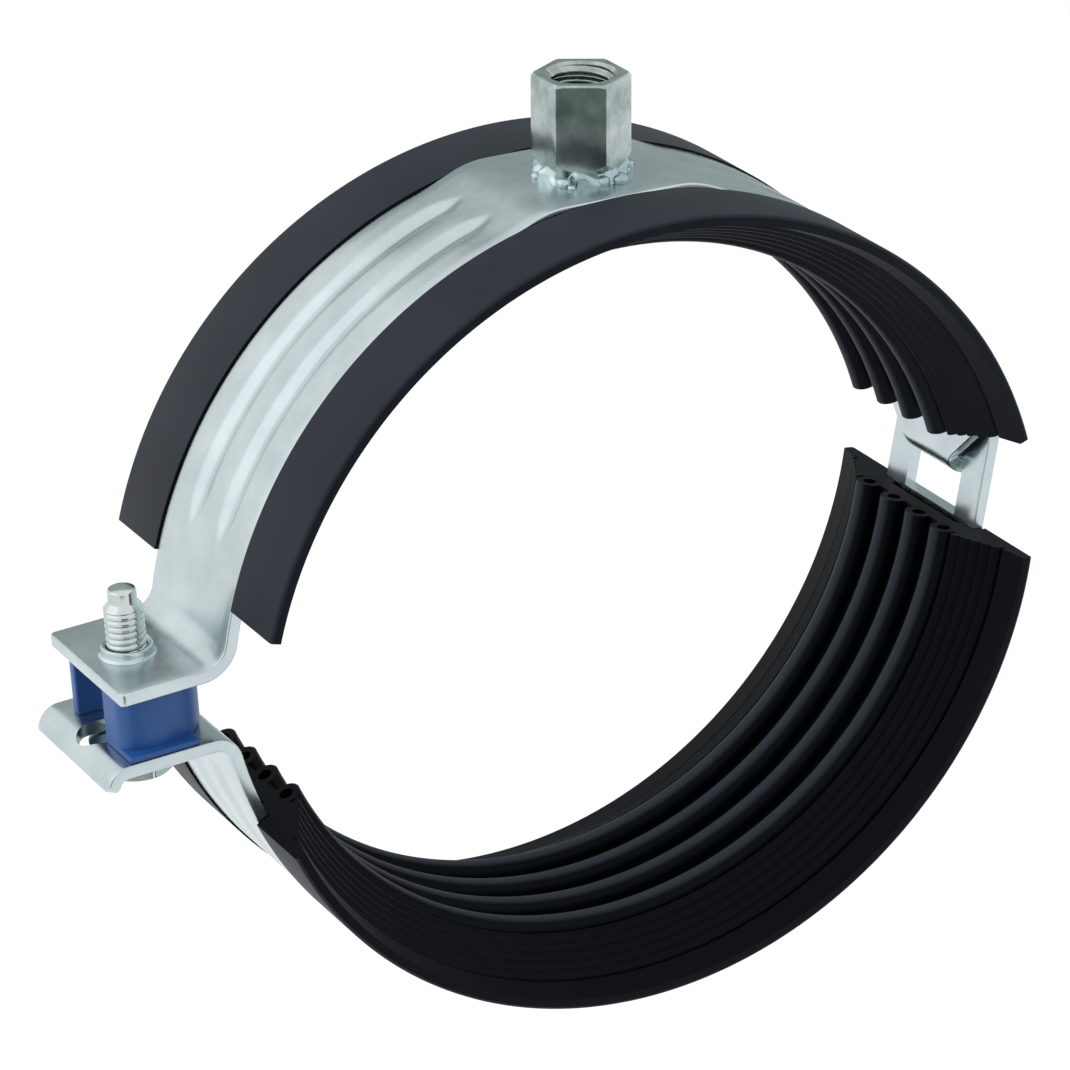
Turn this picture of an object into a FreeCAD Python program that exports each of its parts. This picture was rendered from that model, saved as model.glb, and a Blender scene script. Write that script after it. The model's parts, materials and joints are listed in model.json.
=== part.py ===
# Rubber lined pipe clamp for a 114.3 mm pipe, hung from a threaded rod by its welded nut.
#
# Millimetres. The origin is the centre of the upper half's arc, on the pipe's axis.
# +Z points up to the hanger nut, +X from the screw to the hinge, +Y along the pipe.
# Driving sizes are in the sheet Sizes, and places worked out from them in the sheet Worked.

import FreeCAD, Part
import math
import os
import re
import Sketcher
from FreeCAD import Placement, Rotation, Vector

SIZES = [
    # alias, value, meaning
    ("strip_thick", 2.0, "thickness of both steel bands"),
    ("strip_wide", 25.0, "width of both steel bands"),
    ("band_radius", 67.7, "outer radius of both bands"),
    ("lower_x", -1.0, "centre of the lower half's arc, along X"),
    ("lower_z", 8.9, "centre of the lower half's arc, along Z"),
    ("pad_rise", 0.2, "top of the flat under the hanger nut, above the arc"),
    ("pad_half", 12.5, "half length of that flat"),
    ("pad_foot_angle", 16.8, "angle from the top at which the flat's ramps meet the arc"),
    ("pad_round", 7.0, "rounding where flat, ramps and arc meet"),
    ("bead_apart", 9.0, "distance between the two stiffening beads"),
    ("bead_half", 1.65, "half width of a bead's groove at the band's outer face"),
    ("bead_floor", 0.45, "half width of the groove's floor"),
    ("bead_deep", 0.6, "depth of the groove, and height of the ridge inside"),
    ("bead_spread", 0.8, "ridge's half width beyond the groove's"),
    ("bead_low_angle", 23.0, "angle from +X at which the upper half's right beads start"),
    ("bead_high_angle", 163.0, "angle from +X at which its left beads end"),
    ("bead_pad_angle", 16.5, "angle from the top at which the beads stop beside the flat"),
    ("bead_ear_angle", 197.0, "angle at which the lower half's beads start below its ear"),
    ("bead_leg_angle", 13.0, "angle below +X at which they end"),
    ("ear_angle", 3.0, "fall of both ears towards their outer ends, in degrees"),
    ("screw_out", 9.15, "screw's axis at the top of the upper ear, beyond the arc"),
    ("ear_height", 7.2, "top of the upper ear at the screw"),
    ("ear_long", 7.0, "upper ear beyond the screw's axis"),
    ("ear_bend", 4.0, "inner radius of the upper ear's bend"),
    ("ear_gap", 9.6, "gap between the ears, filled by the spacer"),
    ("ear_corner", 1.0, "corner radius of the upper ear"),
    ("low_bend", 2.5, "inner radius of the lower ear's bend"),
    ("lip_start", 6.8, "lower ear's flat beyond the screw's axis"),
    ("lip_bend", 1.5, "inner radius of the lower ear's lip"),
    ("lip_angle", 65.0, "angle through which the lip turns down"),
    ("lip_long", 1.4, "straight end of the lip"),
    ("lip_corner", 1.2, "corner radius of the lip"),
    ("slot_wide", 7.0, "width of the lower ear's slot"),
    ("slot_run", 5.6, "length of the slot from the screw's axis to its end's centre"),
    ("screw_radius", 3.0, "thread radius of the M6 screw"),
    ("thread_play", 0.06, "radial play of the screw in its collar"),
    ("collar_radius", 4.1, "outer radius of the drawn collar"),
    ("collar_high", 1.4, "height of the drawn collar above the ear"),
    ("screw_full", 7.4, "full thread above the upper ear"),
    ("screw_cone", 1.0, "length of the cone between thread and dog point"),
    ("dog_radius", 1.85, "radius of the dog point"),
    ("dog_long", 2.0, "length of the dog point"),
    ("head_flats", 10.0, "screw head across flats"),
    ("head_high", 4.0, "height of the screw head"),
    ("head_face", 4.6, "radius of the flat end of the screw head"),
    ("washer_radius", 7.0, "outer radius of the captive washer"),
    ("washer_thick", 1.2, "thickness of the captive washer"),
    ("washer_play", 0.1, "radial play of the screw in its washer"),
    ("seat_gap", 0.25, "gap between washer and lower ear"),
    ("head_gap", 0.1, "gap between screw head and washer"),
    ("spacer_radius", 10.6, "radius of the spacer's round block"),
    ("spacer_back", 1.0, "centre of that round beyond the screw's axis"),
    ("spacer_cut", 6.1, "flat end of the spacer beyond the screw's axis"),
    ("spacer_corner", 3.0, "corner radius of the spacer's arms"),
    ("mouth_wide", 6.6, "width of the spacer's mouth"),
    ("spacer_play", 0.15, "gap between the spacer and the upper ear"),
    ("flange_thick", 0.9, "thickness of the spacer's base flange"),
    ("flange_left", 6.6, "base flange from the screw's axis outwards"),
    ("flange_right", 5.1, "base flange from the screw's axis towards the ring"),
    ("flange_inset", 0.3, "base flange inside the band's edges"),
    ("nut_flats", 13.0, "hanger nut across flats"),
    ("nut_high", 14.0, "height of the hanger nut"),
    ("nut_lift", 1.4, "weld under the nut"),
    ("weld_radius", 5.6, "outer radius of that weld"),
    ("nut_top_face", 6.5, "radius of the nut's flat top, inside its chamfer"),
    ("nut_low_face", 5.2, "radius of the nut's flat bottom, inside its chamfer"),
    ("chamfer_angle", 30.0, "angle of the chamfers on nut and screw head"),
    ("bore_wide", 4.25, "thread core radius of the upper M10 stretch"),
    ("bore_narrow", 3.4, "thread core radius of the lower M8 stretch"),
    ("bore_step", 7.0, "depth of the M10 stretch"),
    ("bore_mouth", 0.65, "width of the countersink at the nut's top"),
    ("hinge_height", 11.0, "height of the hinge's pivot"),
    ("hook_radius", 2.0, "inner radius of the hook round the crossbar"),
    ("hook_lip", 3.3, "lip of the hook above the pivot"),
    ("tongue_wide", 12.4, "width of the hook"),
    ("tongue_angle", 14.5, "angle from +X at which the hook leaves the arc"),
    ("shoulder_start", 5.4, "start above the pivot of the band's narrowing to the hook"),
    ("shoulder_end", 1.0, "its end below the pivot"),
    ("leg_angle", 10.0, "angle below +X at which the lower band's legs leave the arc"),
    ("window_wide", 14.0, "width of the window in the lower band"),
    ("window_low", 0.6, "height of the window's lower edge"),
    ("bar_below", 1.2, "crossbar's lower edge below the pivot"),
    ("bar_above", 5.2, "crossbar's upper edge above the pivot"),
    ("leg_corner", 2.0, "corner radius at the top of the legs"),
    ("liner_angle", 148.0, "angle of each rubber liner"),
    ("upper_middle_angle", 91.75, "angle of the upper liner's middle from +X"),
    ("lower_middle_angle", -81.6, "angle of the lower liner's middle from +X"),
    ("flange_wide", 13.2, "width of the liner beyond the band on each side"),
    ("flange_proud", 0.3, "liner's flanges beyond the band's outer face"),
    ("liner_deep", 6.5, "rib crests, where the pipe sits, inside the band's inner face"),
    ("edge_gap", 0.25, "gap between band and flange on each side"),
    ("liner_gap", 0.12, "gap between band and the liner's lands"),
    ("land_wide", 3.2, "width of the lands under the band's edges"),
    ("pocket_deep", 0.9, "depth of the pocket between the lands"),
    ("tip_thick", 1.7, "thickness of the flange's free edge"),
    ("tip_round", 0.45, "bevel of the flange's free edge"),
    ("smooth_wide", 4.4, "plain margin inside the flange's free edge"),
    ("smooth_fall", 1.0, "fall of that margin towards the pipe"),
    ("groove_wide", 0.6, "width of the groove beside the margin"),
    ("groove_deep", 0.6, "depth of that groove"),
    ("rib_apart", 7.1, "distance between the large ribs"),
    ("rib_half", 2.15, "half width of a large rib, and its crest radius"),
    ("rib_deep", 2.8, "depth of the valleys between the large ribs"),
    ("chamber_radius", 1.1, "radius of the chamber in each large rib"),
    ("chamber_deep", 2.2, "depth of the chamber's centre under the crest"),
    ("flare_low", 1.7, "flare's inner end above the rib crests"),
    ("flare_apart", 0.5, "flare's inner end beyond the last large rib"),
    ("small_high", 0.5, "height of the small ribs on the flare"),
]
RIBS = 4
SMALL_RIBS = 5
CREST_SIDES = 4
CHAMBER_SIDES = 6
# how near an edge lies to the place given for it, and how parallel to its direction
FOUND_ASIDE = 0.1
FOUND_ALONG = 2.0
PARALLEL = 0.99

WORKED = [
    # alias, formula, meaning
    ("inner_radius", "band_radius - strip_thick", "inner radius of both bands"),
    ("pad_height", "band_radius + pad_rise", "top of the flat under the hanger nut"),
    ("ramp_angle", "atan((pad_height - band_radius * cos(pad_foot_angle))"
     " / (band_radius * sin(pad_foot_angle) - pad_half))", "slope of that flat's ramps"),
    ("screw_x", "0 - band_radius - screw_out", "screw's axis at the top of the upper ear"),
    ("low_x", "screw_x + (strip_thick + ear_gap) * sin(ear_angle)", "screw's axis at the lower ear, X"),
    ("low_z", "ear_height - (strip_thick + ear_gap) * cos(ear_angle)", "screw's axis at the lower ear, Z"),
    # centre of the upper ear's bend, found on the line parallel to the ear
    ("up_ax", "screw_x - ear_bend * sin(ear_angle)", "start of that line, X"),
    ("up_az", "ear_height + ear_bend * cos(ear_angle)", "start of that line, Z"),
    ("up_dot", "up_ax * cos(ear_angle) + up_az * sin(ear_angle)", "start along the ear"),
    ("up_run", "0 - up_dot - sqrt(up_dot ^ 2 - up_ax ^ 2 - up_az ^ 2 + (band_radius + ear_bend) ^ 2)",
     "distance from the screw to the bend"),
    ("up_cx", "up_ax + up_run * cos(ear_angle)", "centre of the upper bend, X"),
    ("up_cz", "up_az + up_run * sin(ear_angle)", "centre of the upper bend, Z"),
    ("up_share", "1 / (band_radius + ear_bend)", "scale from that centre to the arc"),
    # centre of the lower ear's bend, measured from the lower arc's centre
    ("dn_ax", "low_x + (strip_thick + low_bend) * sin(ear_angle) - lower_x", "start of its line, X"),
    ("dn_az", "low_z - (strip_thick + low_bend) * cos(ear_angle) - lower_z", "start of its line, Z"),
    ("dn_dot", "dn_ax * cos(ear_angle) + dn_az * sin(ear_angle)", "start along the ear"),
    ("dn_run", "0 - dn_dot - sqrt(dn_dot ^ 2 - dn_ax ^ 2 - dn_az ^ 2 + (band_radius + low_bend) ^ 2)",
     "distance from the screw to the bend"),
    ("dn_cx", "dn_ax + dn_run * cos(ear_angle)", "centre of the lower bend from the arc's, X"),
    ("dn_cz", "dn_az + dn_run * sin(ear_angle)", "centre of the lower bend from the arc's, Z"),
    ("dn_share", "1 / (band_radius + low_bend)", "scale from that centre to the arc"),
    # lip of the lower ear
    ("lip_cx", "low_x - lip_start * cos(ear_angle) + (strip_thick + lip_bend) * sin(ear_angle)", "centre, X"),
    ("lip_cz", "low_z - lip_start * sin(ear_angle) - (strip_thick + lip_bend) * cos(ear_angle)", "centre, Z"),
    ("lip_end_angle", "90 + ear_angle + lip_angle", "angle at which the lip's bend ends"),
    # legs of the lower band, and the hinge's pivot on their middle plane
    ("leg_ox", "lower_x + band_radius * cos(leg_angle)", "outer face's start, X"),
    ("leg_oz", "lower_z - band_radius * sin(leg_angle)", "outer face's start, Z"),
    ("leg_ix", "lower_x + inner_radius * cos(leg_angle)", "inner face's start, X"),
    ("leg_iz", "lower_z - inner_radius * sin(leg_angle)", "inner face's start, Z"),
    ("leg_top", "hinge_height + bar_above", "top of the legs"),
    ("hinge_x", "leg_ox + (hinge_height - leg_oz) * tan(leg_angle) - strip_thick / 2 / cos(leg_angle)",
     "pivot of the hinge, X"),
    # liner
    ("liner_wide", "strip_wide + flange_wide * 2", "width of the liner"),
    ("crest_radius", "inner_radius - liner_deep", "radius of the rib crests"),
    ("flange_radius", "band_radius + flange_proud", "outer radius of the liner's flanges"),
    ("floor_radius", "inner_radius - liner_gap", "liner's lands under the band"),
    ("tip_inner", "flange_radius - tip_thick", "inner radius of the flange's free edge"),
    ("margin_y", "liner_wide / 2 - smooth_wide", "inner side of the plain margin"),
    ("margin_r", "tip_inner - smooth_fall", "radius there"),
    ("flare_y", "rib_apart * %.1f + rib_half + flare_apart" % ((RIBS - 1) / 2),
     "start of the flare, beside the last large rib"),
    ("flare_end", "margin_y - groove_wide", "end of the flare, beside the groove"),
    ("flare_r", "crest_radius + flare_low", "radius at the start of the flare"),
    ("valley_r", "crest_radius + rib_deep", "radius of the valleys"),
]

doc = FreeCAD.newDocument("rubber_lined_pipe_clamp")
SIZE_NAMES = {row[0] for row in SIZES}
WORKED_NAMES = {row[0] for row in WORKED}


def formula(text):
    """Write the sheet's name before each alias in a formula."""
    def full(match):
        word = match.group()
        if word in SIZE_NAMES:
            return "Sizes." + word
        if word in WORKED_NAMES:
            return "Worked." + word
        return word
    return re.sub(r"[a-z][a-z_]*", full, str(text))


def fill_sheets():
    sizes = doc.addObject("Spreadsheet::Sheet", "Sizes")
    for row, (alias, value, meaning) in enumerate(SIZES, start=1):
        sizes.set("A%d" % row, alias)
        sizes.set("B%d" % row, str(value))
        sizes.set("C%d" % row, meaning)
        sizes.setAlias("B%d" % row, alias)
    doc.recompute()
    worked = doc.addObject("Spreadsheet::Sheet", "Worked")
    for row, (alias, text, meaning) in enumerate(WORKED, start=1):
        worked.set("A%d" % row, alias)
        worked.set("B%d" % row, "=" + formula(text).replace("Worked.", ""))
        worked.set("C%d" % row, meaning)
        worked.setAlias("B%d" % row, alias)
    doc.recompute()
    return sizes


sheet = fill_sheets()


def number(text):
    """Value of a formula, for the first place of a sketch's points."""
    value = sheet.evalExpression(formula(text))
    return float(getattr(value, "Value", value))


def bind(thing, prop, text):
    thing.setExpression(prop, formula(text))


def plane_of(body, role):
    return next(item for item in body.Origin.OriginFeatures if item.Role == role)


def start_body(label):
    body = doc.addObject("PartDesign::Body", label)
    body.Label = label
    return body


def start_sketch(body, name, role):
    """Empty sketch on one of the body's origin planes."""
    sketch = body.newObject("Sketcher::SketchObject", name)
    sketch.AttachmentSupport = [(plane_of(body, role), "")]
    sketch.MapMode = "FlatFace"
    return sketch


def side_arc(text, left=True):
    """Bend for the edge that follows a point: less than half a turn, to its left or right."""
    return ("side", text, left)


def half_arc(text, left=True):
    """Bend of half a turn between two points that share the coordinate given by the text."""
    return ("half", text, left)


def arc_between(start, end, bend):
    kind, text, left = bend
    along = end - start
    centre = (start + end) / 2
    if kind == "side":
        side = Vector(-along.y, along.x, 0).normalize() * (1 if left else -1)
        centre += side * math.sqrt(number(text) ** 2 - (along.Length / 2) ** 2)
    angles = [math.atan2(point.y - centre.y, point.x - centre.x) for point in (start, end)]
    if not left:
        angles.reverse()
    if angles[1] < angles[0]:
        angles[1] += 2 * math.pi
    return Part.ArcOfCircle(Part.Circle(centre, Vector(0, 0, 1), (start - centre).Length), *angles)


def rule(sketch, kind, where, text):
    """Dimension of the sketch, bound to a formula."""
    index = sketch.addConstraint(Sketcher.Constraint(kind, *where, number(text)))
    sketch.setExpression("Constraints[%d]" % index, formula(text))


def outline(sketch, points):
    """Closed outline through points (x, y) or (x, y, bend), all measured from the sketch's origin."""
    places = [Vector(number(point[0]), number(point[1]), 0) for point in points]
    starts = []
    ends = []
    for index, point in enumerate(points):
        start = places[index]
        end = places[(index + 1) % len(points)]
        if len(point) == 2:
            edge = sketch.addGeometry(Part.LineSegment(start, end), False)
            starts.append((edge, 1))
            ends.append((edge, 2))
            continue
        kind, text, left = point[2]
        edge = sketch.addGeometry(arc_between(start, end, point[2]), False)
        starts.append((edge, 1 if left else 2))
        ends.append((edge, 2 if left else 1))
        if kind == "side":
            rule(sketch, "Radius", (edge,), text)
        elif abs(end.x - start.x) < abs(end.y - start.y):
            rule(sketch, "DistanceX", (-1, 1, edge, 3), text)
        else:
            rule(sketch, "DistanceY", (-1, 1, edge, 3), text)
    for index, point in enumerate(points):
        sketch.addConstraint(Sketcher.Constraint("Coincident", *ends[index - 1], *starts[index]))
        rule(sketch, "DistanceX", (-1, 1, *starts[index]), point[0])
        rule(sketch, "DistanceY", (-1, 1, *starts[index]), point[1])
    return sketch


def rectangle(sketch, left, right, low, high):
    return outline(sketch, [(left, low), (right, low), (right, high), (left, high)])


def extrude(body, kind, name, sketch, length, side="Symmetric"):
    feature = body.newObject("PartDesign::" + kind, name)
    feature.Profile = sketch
    feature.SideType = side
    bind(feature, "Length", length)
    doc.recompute()
    return feature


def cut_right(body, name, sketch, length):
    """Cut towards +X from a sketch that faces it."""
    feature = extrude(body, "Pocket", name, sketch, length, "One side")
    feature.Reversed = True
    doc.recompute()


def spin(body, kind, name, sketch, angle="360"):
    """Turn a sketch about its own upright axis."""
    feature = body.newObject("PartDesign::" + kind, name)
    feature.Profile = sketch
    feature.ReferenceAxis = (sketch, ["V_Axis"])
    bind(feature, "Angle", angle)
    doc.recompute()
    return feature


def place(thing, x, z, turn):
    """Move to a place in the side view and turn about the pipe's direction."""
    thing.Placement = Placement(Vector(number(x), 0, number(z)), Rotation(Vector(0, 1, 0), number(turn)))
    bind(thing, "Placement.Base.x", x)
    bind(thing, "Placement.Base.z", z)
    bind(thing, "Placement.Rotation.Angle", turn)


def round_edges(body, name, places, along, radius):
    """Round the straight edges that run in a direction through any of the places."""
    base = body.Tip
    names = []
    for index, edge in enumerate(base.Shape.Edges, start=1):
        if not isinstance(edge.Curve, Part.Line) or abs(edge.Curve.Direction.dot(along)) < PARALLEL:
            continue
        for middle in places:
            away = edge.CenterOfMass - middle
            aside = away - along * away.dot(along)
            if aside.Length < FOUND_ASIDE and abs(away.dot(along)) < FOUND_ALONG:
                names.append("Edge%d" % index)
    if len(names) != len(places):
        raise RuntimeError("%s finds %d edges" % (name, len(names)))
    feature = body.newObject("PartDesign::Fillet", name)
    feature.Base = (base, names)
    bind(feature, "Radius", radius)
    doc.recompute()


def tilted(side, up):
    """Place beside the screw's axis and above the upper ear, in the ears' tilted frame."""
    x = "screw_x + (%s) * cos(ear_angle) - (%s) * sin(ear_angle)" % (side, up)
    z = "ear_height + (%s) * sin(ear_angle) + (%s) * cos(ear_angle)" % (side, up)
    return x, z


def spot(x, y, z):
    return Vector(number(x), number(y), number(z))


def upper_side():
    """Side view of the upper band, from the ear over the flat to the hook and back."""
    foot_x = "%s * sin(pad_foot_angle)"
    foot_z = "%s * cos(pad_foot_angle)"
    slant = "strip_thick * tan(ramp_angle / 2)"
    flat_below = "pad_height - strip_thick"
    thick_bend = "ear_bend + strip_thick"
    thick_hook = "hook_radius + strip_thick"
    lip_top = "hinge_height + hook_lip"
    return [
        tilted("0 - ear_long", "0"),
        ("up_cx + ear_bend * sin(ear_angle)", "up_cz - ear_bend * cos(ear_angle)", side_arc("ear_bend")),
        ("up_cx * band_radius * up_share", "up_cz * band_radius * up_share", side_arc("band_radius", False)),
        ("0 - " + foot_x % "band_radius", foot_z % "band_radius"),
        ("0 - pad_half", "pad_height"),
        ("pad_half", "pad_height"),
        (foot_x % "band_radius", foot_z % "band_radius", side_arc("band_radius", False)),
        ("band_radius * cos(tongue_angle)", "band_radius * sin(tongue_angle)"),
        ("hinge_x - hook_radius", "hinge_height", half_arc("hinge_height")),
        ("hinge_x + hook_radius", "hinge_height"),
        ("hinge_x + hook_radius", lip_top),
        ("hinge_x + %s" % thick_hook, lip_top),
        ("hinge_x + %s" % thick_hook, "hinge_height", half_arc("hinge_height", False)),
        ("hinge_x - (%s)" % thick_hook, "hinge_height"),
        ("inner_radius * cos(tongue_angle)", "inner_radius * sin(tongue_angle)", side_arc("inner_radius")),
        (foot_x % "inner_radius", foot_z % "inner_radius"),
        ("pad_half - " + slant, flat_below),
        ("0 - pad_half + " + slant, flat_below),
        ("0 - " + foot_x % "inner_radius", foot_z % "inner_radius", side_arc("inner_radius")),
        ("up_cx * inner_radius * up_share", "up_cz * inner_radius * up_share", side_arc(thick_bend, False)),
        ("up_cx + (%s) * sin(ear_angle)" % thick_bend, "up_cz - (%s) * cos(ear_angle)" % thick_bend),
        tilted("0 - ear_long", "0 - strip_thick"),
    ]


def lip_place(radius, angle, run="0"):
    """Place on the lower ear's lip: at an angle round its bend, then on along the straight end."""
    x = "lip_cx + (%s) * cos(%s) - (%s) * sin(%s)" % (radius, angle, run, angle)
    z = "lip_cz + (%s) * sin(%s) + (%s) * cos(%s)" % (radius, angle, run, angle)
    return x, z


def lower_side():
    """Side view of the lower band, from the lip round the arc to the top of the legs and back."""
    flat = "90 + ear_angle"
    thick_lip = "lip_bend + strip_thick"
    thick_bend = "low_bend + strip_thick"
    bend_x = "lower_x + dn_cx"
    bend_z = "lower_z + dn_cz"
    on_ring = ("lower_x + dn_cx * %s * dn_share", "lower_z + dn_cz * %s * dn_share")
    leg_x = "%s + (leg_top - %s) * tan(leg_angle)"
    return [
        lip_place("lip_bend", "lip_end_angle", "lip_long"),
        lip_place("lip_bend", "lip_end_angle") + (side_arc("lip_bend", False),),
        lip_place("lip_bend", flat),
        (bend_x + " - low_bend * sin(ear_angle)", bend_z + " + low_bend * cos(ear_angle)",
         side_arc("low_bend", False)),
        (on_ring[0] % "band_radius", on_ring[1] % "band_radius", side_arc("band_radius")),
        ("leg_ox", "leg_oz"),
        (leg_x % ("leg_ox", "leg_oz"), "leg_top"),
        (leg_x % ("leg_ix", "leg_iz"), "leg_top"),
        ("leg_ix", "leg_iz", side_arc("inner_radius", False)),
        (on_ring[0] % "inner_radius", on_ring[1] % "inner_radius", side_arc(thick_bend)),
        (bend_x + " - (%s) * sin(ear_angle)" % thick_bend, bend_z + " + (%s) * cos(ear_angle)" % thick_bend),
        lip_place(thick_lip, flat) + (side_arc(thick_lip),),
        lip_place(thick_lip, "lip_end_angle"),
        lip_place(thick_lip, "lip_end_angle", "lip_long"),
    ]


def beads(body, name, low, high, x="0", z="0"):
    """Pair of pressed beads round a band between two angles from +X: ridge inside, groove outside."""
    wide = "(bead_half * 2 - bead_floor)"
    forms = {
        "ridge": [("inner_radius + bead_deep", "bead_half * 2 + bead_spread - bead_floor"),
                  ("inner_radius - bead_deep", "bead_floor + bead_spread")],
        "groove": [("band_radius + bead_deep", wide), ("band_radius - bead_deep", "bead_floor")],
    }
    sketches = []
    for form, half in forms.items():
        sketch = start_sketch(body, "%s_%s" % (name, form), "XY_Plane")
        sketch.AttachmentOffset = Placement(spot(x, "0", z), Rotation(Vector(0, 1, 0), -number(high)))
        bind(sketch, "AttachmentOffset.Base.x", x)
        bind(sketch, "AttachmentOffset.Base.z", z)
        bind(sketch, "AttachmentOffset.Rotation.Angle", "0 - (%s)" % high)
        for middle in ("bead_apart / 2", "0 - bead_apart / 2"):
            near = [(radius, "%s + (%s)" % (middle, side)) for radius, side in half]
            far = [(radius, "%s - (%s)" % (middle, side)) for radius, side in reversed(half)]
            outline(sketch, near + far)
        sketches.append(sketch)
    spin(body, "Revolution", name + "_ridges", sketches[0], "(%s) - (%s)" % (high, low))
    spin(body, "Groove", name + "_grooves", sketches[1], "(%s) - (%s)" % (high, low))
    for index, angle in enumerate((low, high)):
        for side in (1, -1):
            tip = body.newObject("PartDesign::SubtractiveCone", "%s_tip_%d_%d" % (name, index, side + 1))
            place(tip, "%s + (band_radius - bead_deep) * cos(%s)" % (x, angle),
                  "%s + (band_radius - bead_deep) * sin(%s)" % (z, angle), "90 - (%s)" % angle)
            bind(tip, "Placement.Base.y", "%d * bead_apart / 2" % side)
            bind(tip, "Radius1", "bead_floor")
            bind(tip, "Radius2", wide)
            bind(tip, "Height", "bead_deep * 2")
            doc.recompute()


def upper_band():
    """Upper half: ear with threaded collar, arc with flat for the nut, and the hinge's hook."""
    body = start_body("upper_band")
    side = outline(start_sketch(body, "upper_side", "XZ_Plane"), upper_side())
    extrude(body, "Pad", "upper_strip", side, "strip_wide")
    ramps = []
    for sign in ("1", "0 - 1"):
        ramps.append(spot("(%s) * pad_half" % sign, "0", "pad_height"))
        foot = "(%s) * band_radius * sin(pad_foot_angle)" % sign
        ramps.append(spot(foot, "0", "band_radius * cos(pad_foot_angle)"))
    round_edges(body, "flat_rounding", ramps, Vector(0, 1, 0), "pad_round")
    shoulders = start_sketch(body, "shoulder_outline", "YZ_Plane")
    lip_sides = start_sketch(body, "lip_outline", "YZ_Plane")
    bind(lip_sides, "AttachmentOffset.Base.z", "hinge_x")
    top = "hinge_height + shoulder_start"
    for sign in ("1", "0 - 1"):
        near = "(%s) * tongue_wide / 2" % sign
        far = "(%s) * strip_wide" % sign
        outline(shoulders, [(near, "0"), (far, "0"), (far, top), ("(%s) * strip_wide / 2" % sign, top),
                            (near, "hinge_height - shoulder_end")])
        rectangle(lip_sides, near, far, "0", top)
    cut_right(body, "shoulders", shoulders, "band_radius + strip_wide")
    cut_right(body, "lip_sides", lip_sides, "strip_wide")
    tilt = math.radians(number("ear_angle"))
    corners = [spot(tilted("0 - ear_long", "0")[0], "(%s) * strip_wide / 2" % sign,
                    tilted("0 - ear_long", "0")[1]) for sign in ("1", "0 - 1")]
    round_edges(body, "ear_corners", corners, Vector(-math.sin(tilt), 0, math.cos(tilt)), "ear_corner")
    beads(body, "left_bead", "90 + bead_pad_angle", "bead_high_angle")
    beads(body, "right_bead", "bead_low_angle", "90 - bead_pad_angle")
    collar = body.newObject("PartDesign::AdditiveCylinder", "collar")
    place(collar, *tilted("0", "0 - strip_thick / 2"), "0 - ear_angle")
    bind(collar, "Radius", "collar_radius")
    bind(collar, "Height", "strip_thick / 2 + collar_high")
    thread = body.newObject("PartDesign::SubtractiveCylinder", "screw_thread")
    place(thread, *tilted("0", "0 - strip_thick * 2"), "0 - ear_angle")
    bind(thread, "Radius", "screw_radius + thread_play")
    bind(thread, "Height", "strip_thick * 4")
    doc.recompute()


def lower_band():
    """Lower half: slotted ear with its lip, arc, and the legs with the crossbar over the window."""
    body = start_body("lower_band")
    side = outline(start_sketch(body, "lower_side", "XZ_Plane"), lower_side())
    extrude(body, "Pad", "lower_strip", side, "strip_wide")
    window = start_sketch(body, "window_outline", "YZ_Plane")
    rectangle(window, "0 - window_wide / 2", "window_wide / 2", "window_low", "hinge_height - bar_below")
    cut_right(body, "window", window, "band_radius + strip_wide")
    middle = "hinge_x + bar_above * tan(leg_angle)"
    tops = [spot(middle, "(%s) * strip_wide / 2" % sign, "leg_top") for sign in ("1", "0 - 1")]
    round_edges(body, "leg_corners", tops, Vector(1, 0, 0), "leg_corner")
    lip_middle = lip_place("lip_bend + strip_thick / 2", "lip_end_angle", "lip_long")
    corners = [spot(lip_middle[0], "(%s) * strip_wide / 2" % sign, lip_middle[1]) for sign in ("1", "0 - 1")]
    turned = math.radians(number("lip_end_angle"))
    round_edges(body, "lip_corners", corners, Vector(math.cos(turned), 0, math.sin(turned)), "lip_corner")
    slot = start_sketch(body, "slot_outline", "XY_Plane")
    far = "low_x - slot_run * cos(ear_angle)"
    half = "slot_wide / 2"
    outline(slot, [("low_x", "0 - " + half, half_arc("low_x")), ("low_x", half),
                   (far, half, half_arc(far)), (far, "0 - " + half)])
    extrude(body, "Pocket", "slot", slot, "ear_gap * 4")
    beads(body, "low_bead", "bead_ear_angle", "360 - bead_leg_angle", "lower_x", "lower_z")


def liner_half():
    """Half of the liner's section as (radius, along the pipe), from the channel to the middle valley."""
    edge = "strip_wide / 2"
    crest = "crest_radius + rib_half"
    points = [
        ("floor_radius - pocket_deep", "%s - land_wide" % edge),
        ("floor_radius", "%s - land_wide" % edge),
        ("floor_radius", "%s + edge_gap" % edge),
        ("flange_radius", "%s + edge_gap" % edge),
        ("flange_radius", "liner_wide / 2 - tip_round"),
        ("flange_radius - tip_round", "liner_wide / 2"),
        ("tip_inner", "liner_wide / 2"),
        ("margin_r", "margin_y"),
        ("margin_r + groove_deep", "margin_y"),
        ("margin_r + groove_deep", "flare_end"),
    ]
    for step in range(SMALL_RIBS):
        for share, rise in (("%d / %d" % (step, SMALL_RIBS), "0"),
                            ("%.1f / %d" % (step + 0.5, SMALL_RIBS), "small_high")):
            points.append(("margin_r + (flare_r - margin_r) * %s - %s" % (share, rise),
                           "flare_end + (flare_y - flare_end) * %s" % share))
    points += [("flare_r", "flare_y"), ("valley_r", "flare_y")]
    for step in range(RIBS // 2):
        middle = "rib_apart * %.1f" % ((RIBS - 1) / 2 - step)
        points.append(("valley_r", "%s + rib_half" % middle))
        for side in range(CREST_SIDES + 1):
            angle = 90 + 180 * side / CREST_SIDES
            points.append(("%s + rib_half * cos(%g)" % (crest, angle),
                           "%s + rib_half * sin(%g)" % (middle, angle)))
        points.append(("valley_r", "%s - rib_half" % middle))
    return points


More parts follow.
